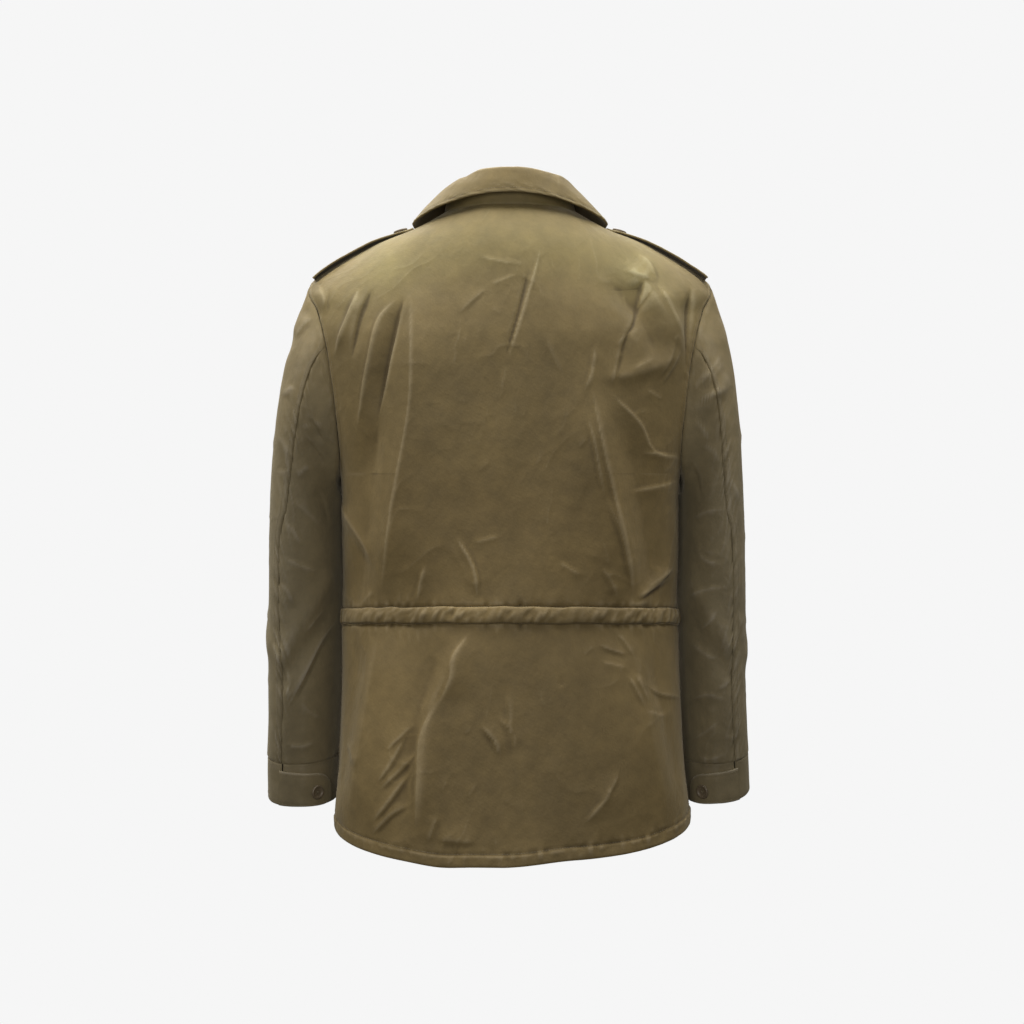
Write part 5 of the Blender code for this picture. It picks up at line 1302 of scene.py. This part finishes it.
# ------------------------------------------------------------------ sleeves
def seam_directions(angle, side):
    phi, t = armhole(angle, side)
    n_body = torso_up(phi, t)
    n_arm = sleeve_out(angle, np.full_like(t, -1.0) + 0.02, side)
    middle = unit(n_body + n_arm)
    w = np.clip(1.6 * (1 + np.cos(np.radians(angle))), 0, 1)[..., None]
    return unit(n_body * (1 - w) + middle * w), unit(n_arm * (1 - w) + middle * w)


def build_sleeves():
    made = {}
    for side, word in ((1, "left"), (-1, "right")):
        to_r, length = by_length(lambda r: sleeve_plain(np.full_like(r, 90.0), r, side), -1.0, 3.0, 500)
        r = to_r(spread(length, ARM))
        hind = hind_seam(r, side)
        for which, first, last, span in (("top", np.full_like(r, FORE_SEAM - 360.0), hind, 0.30),
                                         ("under", hind, np.full_like(r, FORE_SEAM), 0.20)):
            mid_angles = np.linspace(first[len(r) // 2], last[len(r) // 2], 300)
            ring = sleeve_plain(mid_angles, np.full(300, 0.5), side)
            s = np.concatenate([[0], np.cumsum(np.linalg.norm(np.diff(ring, axis=0), axis=-1))])
            u_lin = spread(s[-1], ARM)
            u = np.interp(u_lin, s / s[-1], np.linspace(0, 1, 300))[None, :]
            angle = first[:, None] * (1 - u) + last[:, None] * u
            rr = np.broadcast_to(r[:, None], angle.shape)
            p, out = sleeve_cloth(angle, rr, side)
            out = out.copy()
            out[0] = seam_directions(angle[0], side)[1]
            rows, cols = run_lengths(p, 0), run_lengths(p, 1)
            seed = (111 if which == "top" else 131) + (7 if side > 0 else 0)
            h = seam_shape(rows, cols, seed, 0.0085, 0.0010) * ease(rr, -1.0, -0.995) * 0.55
            # the hind seam's lapped band lies on the top sleeve
            if which == "top":
                h += seam_shape(cols[:, -1:] - cols, rows, seed + 1, 0.0085, 0.00110) * ease(rows, 0.004, 0.02)
                h += 0.35 * seam_shape(cols, rows, seed + 2, 0.0085, 0.0004) * ease(rows, 0.004, 0.02)
            else:
                mm = cols * 1000
                h += (-0.0008 * np.exp(-(mm / 1.5) ** 1.4)
                      + 0.00095 * noise(rows * 1000 / 5.5, mm / 11, seed + 3) * np.exp(-(mm / 11.0) ** 1.3)) * ease(rows, 0.004, 0.02)
                mm = (cols[:, -1:] - cols) * 1000
                h += -0.0006 * np.exp(-(mm / 1.3) ** 1.4) * ease(rows, 0.004, 0.02)
            # gathered into the cuff
            up = (rows[-1:] - rows) * 1000
            h += (-0.0009 * np.exp(-(up / 1.6) ** 1.4)
                  + 0.00075 * noise(cols * 1000 / 8.0, up / 24, seed + 4) * np.exp(-(up / 16.0) ** 1.3) * ease(up, 0, 2.0))
            p = p + h[..., None] * out
            p = draw_edges(p, ("first_row", "last_row", "first_column", "last_column"))
            normal = grid_normals(p, out)
            wear_and_painted_light = crest_wear_and_hollow_shade(p, out, 0.6)
            uv = np.stack([cols - cols[:, -1:] / 2, rows], -1)
            node = "sleeve_%s_%s" % (word, which)
            obj = shell("cloth_" + node, p, out, SHELL, ARM_CLOTH, node, wear_and_painted_light, uv)
            flat = (0.30, 0.60) if which == "top" else (0.21, 0.55)
            cut(obj, flat, "hung", [], area=0.70 * flat[0] * flat[1])
            made[node] = dict(p=p, n=normal, rows=rows, cols=cols, obj=obj)
            n_rows = len(r)
            if which == "top":
                for d in (0.0020, 0.0069):
                    back_d = cols[:, -1:] - cols
                    pick = np.arange(6, n_rows - 4)
                    j = np.array([np.interp(-d, -back_d[k], np.arange(cols.shape[1])) for k in pick])
                    stitch_line("sleeve_" + word, p, normal, pick, j)
                    j = np.array([np.interp(d, cols[k], np.arange(cols.shape[1])) for k in pick])
                    stitch_line("sleeve_" + word, p, normal, pick, j)
    return made


def build_cuffs():
    for side, word in ((1, "left"), (-1, "right")):
        cell = 0.0022
        # cuff
        n = int(0.32 / cell)
        angle = np.linspace(TAB_FROM + 6.0, TAB_FROM + 364.0, n + 1)
        f = spread(0.047, cell)
        a, r = np.meshgrid(angle, 3.0 + f)
        p, out = sleeve_plain(a, r, side), sleeve_out(a, r, side)
        rows, cols = run_lengths(p, 0), run_lengths(p, 1)
        low = (rows[-1:] - rows) * 1000
        mm = rows * 1000
        h = (-0.0006 * np.exp(-(mm / 1.2) ** 1.4) - 0.0006 * np.exp(-(low / 1.1) ** 1.4)
             - 0.00028 * np.exp(-((low - 3.0) / 0.9) ** 2) - 0.00028 * np.exp(-((mm - 3.0) / 0.9) ** 2)
             + 0.00030 * noise(cols * 1000 / 22, mm / 18, 151 + side)
             + 0.00024 * noise(cols * 1000 / 6, mm / 10, 153 + side) * (np.exp(-(low / 6) ** 1.5) + np.exp(-(mm / 6) ** 1.5)))
        p = p + h[..., None] * out
        p = draw_edges(p, ("first_row", "first_column", "last_column"))
        normal = grid_normals(p, out)
        uv = np.stack([cols, rows], -1)
        obj = shell("cloth_cuff_" + word, p, out, WALL, ARM_CLOTH, "cuff_" + word, crest_wear_and_hollow_shade(p, out), uv)
        cut(obj, (0.335, 0.050), "hung", [])
        for d in (0.0030,):
            stitch_line("cuff_" + word, p, normal, level(rows, d), np.arange(n + 1))
            stitch_line("cuff_" + word, p, normal, level(rows, 0.047 - d), np.arange(n + 1))
        # tab
        m = int(0.115 / cell)
        angle = np.linspace(TAB_FROM, TAB_TO, m + 1)
        nose = np.clip((angle - (TAB_TO - 26.0)) / 26.0, 0, 1)
        rise = 1 - np.sqrt(np.clip(1 - nose ** 2, 0.06, 1))
        top = TAB_TOP + 0.34 * rise + 0.10 * np.linspace(0, 1, m + 1)
        bottom = 0.975 - 0.12 * rise
        f = spread(0.038, cell)[:, None]
        r = 3.0 + top[None, :] * (1 - f) + bottom[None, :] * f
        a = np.broadcast_to(angle[None, :], r.shape)
        foot, out = sleeve_plain(a, r, side), sleeve_out(a, r, side)
        rows, cols = run_lengths(foot, 0), run_lengths(foot, 1)
        d_edge = np.minimum(rows, rows[-1:] - rows)
        d_edge = np.minimum(d_edge, cols[:, -1:] - cols + 0.001) * 1000
        h = (LAP + 0.0005 + TRIM_WALL - 0.0007 * np.exp(-(d_edge / 1.0) ** 1.4)
             - 0.00035 * np.exp(-((d_edge - 3.2) / 0.9) ** 2)
             + 0.0003 * noise(cols * 1000 / 16, rows * 1000 / 14, 161 + side)
             + 0.0002 * noise(cols * 1000 / 5, rows * 1000 / 6, 163 + side) * np.exp(-(d_edge / 6) ** 1.5))
        p = foot + h[..., None] * out
        normal = grid_normals(p, out)
        uv = np.stack([cols, rows], -1)
        # The tab's rim is paler: partly rubbed wear, partly painted highlight.
        obj = shell("cloth_cuff_tab_" + word, p, out, TRIM_WALL - 0.0004, ARM_CLOTH, "cuff_tab_" + word,
                    np.clip(crest_wear_and_hollow_shade(p, out) + 0.30 * np.exp(-(d_edge / 1.4) ** 2), 0, 1), uv)
        cut(obj, (0.118, 0.042), "laid", ["cloth_cuff_" + word], area=0.0034)
        inset = 3.4
        jj = np.arange(m + 1 - 5)
        stitch_line("cuff_" + word, p, normal, level(rows, 0.0032)[:len(jj)], jj)
        low_rows = np.array([np.interp(-0.0032, -(rows[-1, j] - rows[:, j]), np.arange(rows.shape[0])) for j in jj])
        stitch_line("cuff_" + word, p, normal, low_rows, jj)
        ii = np.linspace(level(rows, 0.0032)[-6], low_rows[-1], 12)
        stitch_line("cuff_" + word, p, normal, ii, np.full(12, len(jj) - 1.0))
        a, r = np.array(CUFF_BUTTON_ANGLE), np.array(3.0 + CUFF_BUTTON_HEIGHT)
        out = sleeve_out(a, r, side)
        centre = sleeve_plain(a, r, side) + (LAP + 0.0007 + TRIM_WALL) * out
        button("cuff_button_" + word, centre, out, (0, 0, 1), 20.0 * side)


# ------------------------------------------------------------------ collar
COLLAR_RISE = [(-200, 0.0), (-110, 0.0), (-95, -1.5), (-83, -2.2), (-70, -0.5), (-60, 1.2), (-52, -0.8), (-46, 1.0), (-37, 4.0),
               (-20, 2.2), (-6, 1.6), (10, 2.4), (26, 2.6), (40, 2.2), (52, 3.2), (60, 4.6), (68, 3.4), (82, 0.4), (95, -2.4),
               (110, -1.8), (125, 0.0), (200, 0.0)]


def build_collar():
    cell = 0.0024
    # stand
    n = int(0.50 / cell)
    phi = np.linspace(-180.0 + STAND_OPEN, 180.0 - STAND_OPEN, n + 1)
    foot, top = collar_line("stand_foot", phi), collar_line("stand_top", phi)
    f = spread(0.036, cell)[:, None, None]
    grid = foot * (1 - f) + top * f
    tuck = foot * np.array([0.985, 0.985, 1.0]) - np.array([0.0, 0.0, 0.0045])
    grid = np.concatenate([tuck[None], (tuck * 0.45 + foot * 0.55)[None], grid])
    like = grid * np.array([1.0, 1.0, 0.0])
    out = grid_normals(grid, like)
    rows, cols = run_lengths(grid, 0), run_lengths(grid, 1)
    mm = rows * 1000
    h = (-0.0005 * np.exp(-(mm / 1.2) ** 1.4) + 0.0003 * noise(cols * 1000 / 24, mm / 20, 171)
         - 0.0003 * np.exp(-((mm - 3.2) / 0.9) ** 2)
         + 0.0003 * noise(cols * 1000 / 6, mm / 9, 172) * np.exp(-(mm / 7) ** 1.4))
    p = grid + h[..., None] * out
    uv = np.stack([cols, rows], -1)
    # The stand is painted a little paler, as painted light against the shade under the fall.
    obj = shell("cloth_collar_stand", p, out, SHELL, CLOTH, "collar_stand", crest_wear_and_hollow_shade(p, out), uv, dye_and_light_lift=1.05)
    cut(obj, (0.47, 0.037), "hung", [])
    stitch_line("collar", p, grid_normals(p, out), level(rows, 0.0032), np.arange(n + 1))
    # fall
    n = int(0.70 / cell)
    phi = np.linspace(-180.0 + FALL_OPEN, 180.0 - FALL_OPEN, n + 1)
    a, b, c = (collar_line(name, phi) for name in ("fall_start", "fall_crown", "fall_edge"))
    point = np.clip((np.abs(phi) - 120.0) / 51.0, 0, 1) ** 2
    c = c + point[:, None] * COLLAR_POINT * unit(c - b)
    crown = b * 2 - (a + c) / 2
    f = spread(0.062, cell)[:, None, None]
    grid = (1 - f) ** 2 * a + 2 * f * (1 - f) * (b + 0.35 * (crown - b)) + f ** 2 * c
    like = grid * np.array([1.0, 1.0, 0.0]) + np.array([0, 0, 0.05])
    out = grid_normals(grid, like)
    rows, cols = run_lengths(grid, 0), run_lengths(grid, 1)
    low = (rows[-1:] - rows) * 1000
    end = np.minimum(cols, cols[:, -1:] - cols) * 1000
    right = -grid[..., 0] * 1000
    back = ease(grid[..., 1], 0.0, 0.03)
    rise = np.interp(right, [r[0] for r in COLLAR_RISE], [r[1] for r in COLLAR_RISE]) * back
    ff = f[..., 0]
    hump = np.exp(-((ff - 0.16) / 0.22) ** 2)
    h = 0.0006 + 0.001 * rise * hump
    h = h + (-0.0006 * np.exp(-(low / 1.0) ** 1.4) - 0.0007 * np.exp(-((low - 5.0) / 1.0) ** 2)
             - 0.0005 * np.exp(-(end / 1.0) ** 1.4)
             + 0.0005 * noise(cols * 1000 / 30, rows * 1000 / 26, 181)
             + 0.0006 * noise(cols * 1000 / 5.5, rows * 1000 / 14, 182) * np.exp(-((low - 5) / 6) ** 2))
    h = h + creases(right, rows * 1000 + 0.0 * right, COLLAR_CREASES, back)
    p = grid + h[..., None] * out
    normal = grid_normals(p, out)
    uv = np.stack([cols, rows], -1)
    # The fall's outer edge is paler: partly rubbed wear, partly painted highlight.
    obj = shell("cloth_collar_fall", p, out, WALL, CLOTH, "collar_fall", np.clip(crest_wear_and_hollow_shade(p, out) + 0.2 * np.exp(-(low / 1.5) ** 2), 0, 1), uv)
    cut(obj, (0.66, 0.085), "folded", ["cloth_collar_stand"], area=0.045)
    m = rows.shape[1]
    low_rows = np.array([np.interp(-0.0050, -(rows[-1, j] - rows[:, j]), np.arange(rows.shape[0])) for j in range(m)])
    stitch_line("collar", p, normal, low_rows[3:-3], np.arange(m)[3:-3])


# Creases of the collar's fall at the back: mm right of the middle, and mm from
# the fold line towards the edge.
COLLAR_CREASES = [
    ("notch", [(-36, 2), (-38, 12), (-42, 24)], 2.5, 4.0, -1.6, 1.3, 0.1, 0.3),
    ("facet", [(52, 4), (56, 16), (58, 30)], 4.0, 3.0, 1.2, 1.4, 0.2, 0.3),
    ("left_fold", [(-58, 6), (-66, 18), (-78, 30)], 4.0, 4.0, 1.0, 1.5, 0.2, 0.3),
    ("middle_dent", [(2, 2), (4, 12), (8, 22)], 5.0, 5.0, -0.8, 1.6, 0.2, 0.4),
    ("right_fold", [(70, 8), (78, 20), (88, 32)], 4.0, 4.0, -1.0, 1.5, 0.2, 0.3),
]


# ------------------------------------------------------------------ straps
def build_straps():
    for side, word in ((1, "left"), (-1, "right")):
        cell = 0.0022
        x = STRAP_FROM + (STRAP_TO - STRAP_FROM) * spread(0.135, cell)
        ridge_t = np.linspace(T_TIP, T_NECK, 61)
        ridge = torso(np.full_like(ridge_t, side * 90.0), ridge_t)
        z = np.interp(-x, -np.abs(ridge[:, 0]), ridge[:, 2])
        f = (STRAP_FROM - x) / (STRAP_FROM - STRAP_TO)
        z = z + 0.0015 + STRAP_STAND * np.sin(np.pi * np.clip(f * 1.06, 0, 1) ** 0.8)
        width = STRAP_HALF_WIDTH * (1 - 0.38 * ease(f, 0.86, 1.0))
        v = (spread(0.044, cell) * 2 - 1)
        low = np.zeros((len(x), len(v), 3))
        low[..., 0] = side * x[:, None]
        low[..., 1] = v[None, :] * width[:, None] - 0.002
        low[..., 2] = z[:, None] - 0.0012 * (v[None, :] ** 2)
        out = grid_normals(low, np.array([0.0, 0.0, 1.0]))
        rows, cols = run_lengths(low, 0), run_lengths(low, 1)
        edge = np.minimum(cols, cols[:, -1:] - cols) * 1000
        end = (rows[-1:] - rows) * 1000
        edge = np.minimum(edge, end)
        h = (WALL - 0.0006 * np.exp(-(edge / 1.0) ** 1.4) - 0.0003 * np.exp(-((edge - 4.0) / 0.9) ** 2)
             + 0.0004 * noise(rows * 1000 / 26, cols * 1000 / 20, 191 + side)
             + 0.0002 * noise(rows * 1000 / 6, cols * 1000 / 7, 193 + side) * np.exp(-((edge - 3) / 4) ** 2))
        p = low + h[..., None] * out
        normal = grid_normals(p, out)
        uv = np.stack([cols, rows], -1)
        # The strap's rim is paler: partly rubbed wear, partly painted highlight.
        obj = shell("cloth_shoulder_strap_" + word, p, out, WALL - 0.0002, CLOTH, "shoulder_strap_" + word,
                    np.clip(crest_wear_and_hollow_shade(p, out) + 0.25 * np.exp(-(edge / 1.4) ** 2), 0, 1), uv)
        cut(obj, (0.045, 0.138), "laid", ["cloth_back"])
        n = len(x)
        for d in (0.0040,):
            pick = np.arange(0, n - 4)
            j0 = np.array([np.interp(d, cols[k], np.arange(cols.shape[1])) for k in pick])
            j1 = np.array([np.interp(cols[k, -1] - d, cols[k], np.arange(cols.shape[1])) for k in pick])
            stitch_line("straps", p, normal, pick, j0)
            stitch_line("straps", p, normal, pick, j1)
        k = int(np.argmin(np.abs(x - STRAP_BUTTON_X)))
        m = len(v) // 2
        button("strap_button_" + word, p[k, m] + 0.0003 * out[k, m], out[k, m], (0, 1, 0), 33.0)


# ------------------------------------------------------------------ placket
def build_placket():
    cell = 0.0027
    t_all, length = torso_t_rows(cell)
    rows_cad_top = T_TIP + (T_NECK - T_TIP) * 4 / 5
    t = t_all[t_all <= rows_cad_top]
    x = np.linspace(1, -1, 31)
    edge_x = (spread(0.052, 0.0026) * 2 - 1)[::-1] * PLACKET_HALF_WIDTH
    tt = np.broadcast_to(t[:, None], (len(t), len(edge_x)))
    away = 180.0 - placket_edge(tt, np.abs(edge_x)[None, :])
    phi = 180.0 - np.sign(edge_x)[None, :] * away
    foot, out = torso_cloth(phi, tt)
    rows, cols = run_lengths(foot, 0), run_lengths(foot, 1)
    edge = np.minimum(cols, cols[:, -1:] - cols) * 1000
    h = (LAP + 0.0016 + TRIM_WALL - 0.0008 * np.exp(-(edge / 1.1) ** 1.4)
         - 0.00035 * np.exp(-((edge - 4.0) / 0.9) ** 2)
         + 0.0005 * noise(cols * 1000 / 24, rows * 1000 / 40, 201)
         + 0.0003 * noise(cols * 1000 / 9, rows * 1000 / 6, 202) * np.exp(-((edge - 3) / 4) ** 2))
    p = foot + h[..., None] * out
    normal = grid_normals(p, out)
    uv = np.stack([cols, rows], -1)
    obj = shell("cloth_front_placket", p, out, TRIM_WALL - 0.0004, CLOTH, "front_placket", crest_wear_and_hollow_shade(p, out), uv)
    cut(obj, (0.056, 0.72), "hung", ["cloth_front_left", "cloth_front_right"])
    pick = np.arange(len(t))
    for d in (0.0040, 0.0480):
        j = np.array([np.interp(d, cols[k], np.arange(cols.shape[1])) for k in pick])
        stitch_line("placket", p, normal, pick, j)
    for node in sorted(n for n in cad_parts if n.startswith("front_button_")):
        lo, hi = (np.array(c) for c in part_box(node))
        centre = (lo + hi) / 2
        d = np.linalg.norm(p - centre, axis=-1)
        k, m = np.unravel_index(np.argmin(d), d.shape)
        button(node, p[k, m] + 0.0003 * out[k, m], out[k, m], (0, 0, 1), 12.0 * (k % 5))


# ------------------------------------------------------------------ buttons
BUTTON_MESH = []


def button_mesh():
    """A four-hole button: dished middle, raised rounded rim, holes right through."""
    r, h = BUTTON_DIAMETER / 2, BUTTON_HEIGHT
    profile = [(0.0, 0.50), (0.30, 0.50), (0.50, 0.53), (0.60, 0.60), (0.68, 0.80), (0.75, 0.95), (0.83, 1.00),
               (0.91, 0.96), (0.97, 0.82), (1.0, 0.60), (0.99, 0.38), (0.93, 0.16), (0.82, 0.05), (0.60, 0.0), (0.0, 0.0)]
    bm = bmesh.new()
    steps = 48
    rings = []
    for x, z in profile:
        if x == 0.0:
            rings.append([bm.verts.new((0, 0, z * h))])
        else:
            rings.append([bm.verts.new((x * r * math.cos(2 * math.pi * k / steps),
                                        x * r * math.sin(2 * math.pi * k / steps), z * h)) for k in range(steps)])
    for lo, hi in zip(rings[:-1], rings[1:]):
        for k in range(steps):
            a, b = lo[k % len(lo)], lo[(k + 1) % len(lo)]
            c, d = hi[(k + 1) % len(hi)], hi[k % len(hi)]
            bm.faces.new([v for i, v in enumerate((a, b, c, d)) if v not in (a, b, c, d)[:i]])
    bmesh.ops.recalc_face_normals(bm, faces=bm.faces[:])
    mesh = bpy.data.meshes.new("button_form")
    bm.to_mesh(mesh)
    bm.free()
    form = bpy.data.objects.new("button_form", mesh)
    bpy.context.scene.collection.objects.link(form)
    cutters = bmesh.new()
    for k in range(4):
        a = math.pi / 4 + k * math.pi / 2
        m = mathutils.Matrix.Translation((0.0020 * math.cos(a), 0.0020 * math.sin(a), h / 2))
        bmesh.ops.create_cone(cutters, cap_ends=True, segments=16, radius1=0.00095, radius2=0.00095, depth=h * 2, matrix=m)
    cmesh = bpy.data.meshes.new("button_holes")
    cutters.to_mesh(cmesh)
    cutters.free()
    holes = bpy.data.objects.new("button_holes", cmesh)
    bpy.context.scene.collection.objects.link(holes)
    cut = form.modifiers.new("holes", "BOOLEAN")
    cut.operation, cut.solver, cut.object = "DIFFERENCE", "EXACT", holes
    graph = bpy.context.evaluated_depsgraph_get()
    done = bpy.data.meshes.new_from_object(form.evaluated_get(graph))
    done.name = "button"
    for o in (form, holes):
        bpy.data.objects.remove(o, do_unlink=True)
    done.materials.clear()
    done.materials.append(PLASTIC)
    done.polygons.foreach_set("use_smooth", [True] * len(done.polygons))
    done.set_sharp_from_angle(angle=math.radians(40))
    return done


def thread_cross():
    """The sewing thread over a button's four holes: two crossed bars of strands."""
    verts, faces = [], []
    sides, steps = 6, 8
    for turn in (math.pi / 4, 3 * math.pi / 4):
        for offset in (-0.00028, 0.00028):
            base = len(verts)
            for i in range(steps + 1):
                f = i / steps
                x = (f * 2 - 1) * 0.0020
                z = BUTTON_HEIGHT * 0.50 + 0.00055 * math.sin(math.pi * f) ** 0.5 - 0.0008 * (f in (0.0, 1.0))
                z += 0.0002 * (turn > 1)
                for k in range(sides):
                    w = 2 * math.pi * k / sides
                    y = offset + 0.00030 * math.cos(w)
                    zz = z + 0.00030 * math.sin(w)
                    verts.append((x * math.cos(turn) - y * math.sin(turn), x * math.sin(turn) + y * math.cos(turn), zz))
            for i in range(steps):
                for k in range(sides):
                    a = base + i * sides + k
                    b = base + i * sides + (k + 1) % sides
                    faces.append((a, b, b + sides, a + sides))
    return verts, faces


def button(node, centre, out, up, spin):
    if not BUTTON_MESH:
        BUTTON_MESH.append(button_mesh())
    z_axis = unit(np.asarray(out, float))
    x_axis = unit(np.cross(np.asarray(up, float), z_axis))
    y_axis = np.cross(z_axis, x_axis)
    turn = mathutils.Matrix([[*row] for row in np.stack([x_axis, y_axis, z_axis], 1)]).to_4x4()
    turn = turn @ mathutils.Matrix.Rotation(math.radians(spin), 4, "Z")
    place = mathutils.Matrix.Translation([float(c) for c in centre]) @ turn
    mesh = BUTTON_MESH[0].copy()
    mesh.transform(place)
    obj = bpy.data.objects.new(node + "_fine", mesh)
    bpy.context.scene.collection.objects.link(obj)
    finish(obj, node)
    verts, faces = thread_cross()
    verts = [place @ mathutils.Vector(v) for v in verts]
    thread = new_object(node + "_thread", verts, faces, THREAD)
    finish(thread, None)


# ------------------------------------------------------------------ light
def build_studio():
    scene = bpy.context.scene
    cam_data = bpy.data.cameras.new("camera")
    cam_data.sensor_width = 36.0
    cam_data.lens = 2000.0 / 1024.0 * 36.0
    cam = bpy.data.objects.new("camera", cam_data)
    scene.collection.objects.link(cam)
    cam.location = EYE
    cam.rotation_euler = (math.radians(90), 0, math.radians(180))
    cam_data.clip_start, cam_data.clip_end = 0.01, 100
    scene.camera = cam

    world = bpy.data.worlds.new("world")
    scene.world = world
    world.use_nodes = True
    ground = world.node_tree.nodes["Background"]
    ground.inputs["Color"].default_value = (1.0, 0.98, 0.96, 1)
    ground.inputs["Strength"].default_value = AMBIENT

    for name, azimuth, elevation, distance, size, power, colour in LIGHTS:
        data = bpy.data.lights.new(name, "AREA")
        data.shape = "SQUARE"
        data.size = size
        data.energy = power
        data.color = colour
        lamp = bpy.data.objects.new(name, data)
        scene.collection.objects.link(lamp)
        a, e = math.radians(azimuth), math.radians(elevation)
        ray = mathutils.Vector((math.sin(a) * math.cos(e), math.cos(a) * math.cos(e), math.sin(e)))
        lamp.location = mathutils.Vector(LIGHT_TARGET) + distance * ray
        lamp.rotation_euler = (-ray).to_track_quat("-Z", "Y").to_euler()
        lamp.visible_camera = False

    bm = bmesh.new()
    bmesh.ops.create_uvsphere(bm, u_segments=64, v_segments=32, radius=7.0)
    for v in bm.verts:
        v.co.z = max(v.co.z, FLOOR_Z)
    mesh = bpy.data.meshes.new("studio")
    bm.to_mesh(mesh)
    bm.free()
    studio = bpy.data.objects.new("studio_floor", mesh)
    scene.collection.objects.link(studio)
    mat = bpy.data.materials.new("studio_paper")
    mat.use_nodes = True
    tree = mat.node_tree
    tree.nodes.clear()
    output = tree.nodes.new("ShaderNodeOutputMaterial")
    glow = tree.nodes.new("ShaderNodeEmission")
    glow.inputs["Color"].default_value = PAPER
    glow.inputs["Strength"].default_value = 1.0
    tree.links.new(glow.outputs[0], output.inputs["Surface"])
    mat.cycles.emission_sampling = "NONE"
    mesh.materials.append(mat)
    studio.visible_diffuse = studio.visible_glossy = studio.visible_shadow = studio.visible_transmission = False

    scene.view_settings.view_transform = "Standard"
    scene.view_settings.look = "None"
    scene.view_settings.exposure = 0.0
    scene.view_settings.gamma = 1.0


FLOOR_Z = -1.30
PAPER = (0.9216, 0.9216, 0.9216, 1)
AMBIENT = 0.03
LIGHTS = [   # name, azimuth from the camera's side (image left is plus), elevation, distance, size, watts, colour
    ("front",       3.0,  6.0, 3.2, 1.4, 31.5, (1.0, 0.985, 0.955)),
    ("left_box",   72.0, 52.0, 3.2, 1.3, 62.5, (1.0, 0.985, 0.96)),
    ("right_box", -75.0, 54.0, 3.2, 1.3, 48.0, (1.0, 0.985, 0.96)),
    ("overhead",    0.0, 82.0, 3.2, 1.4, 54.5, (1.0, 0.99, 0.97)),
    ("far_top",   180.0, 62.0, 3.2, 1.6, 60.0, (1.0, 1.0, 1.0)),
    ("far_side",  130.0, 45.0, 3.2, 1.6, 30.0, (1.0, 1.0, 1.0)),
]
LIGHT_TARGET = (0.0, 0.0, -0.40)


def main():
    torso_made = build_torso()
    stitch_torso(torso_made)
    build_channel(torso_made)
    build_sleeves()
    build_cuffs()
    build_collar()
    build_straps()
    build_placket()
    build_stitches(THREAD)
    build_studio()
    bpy.context.view_layer.update()


main()
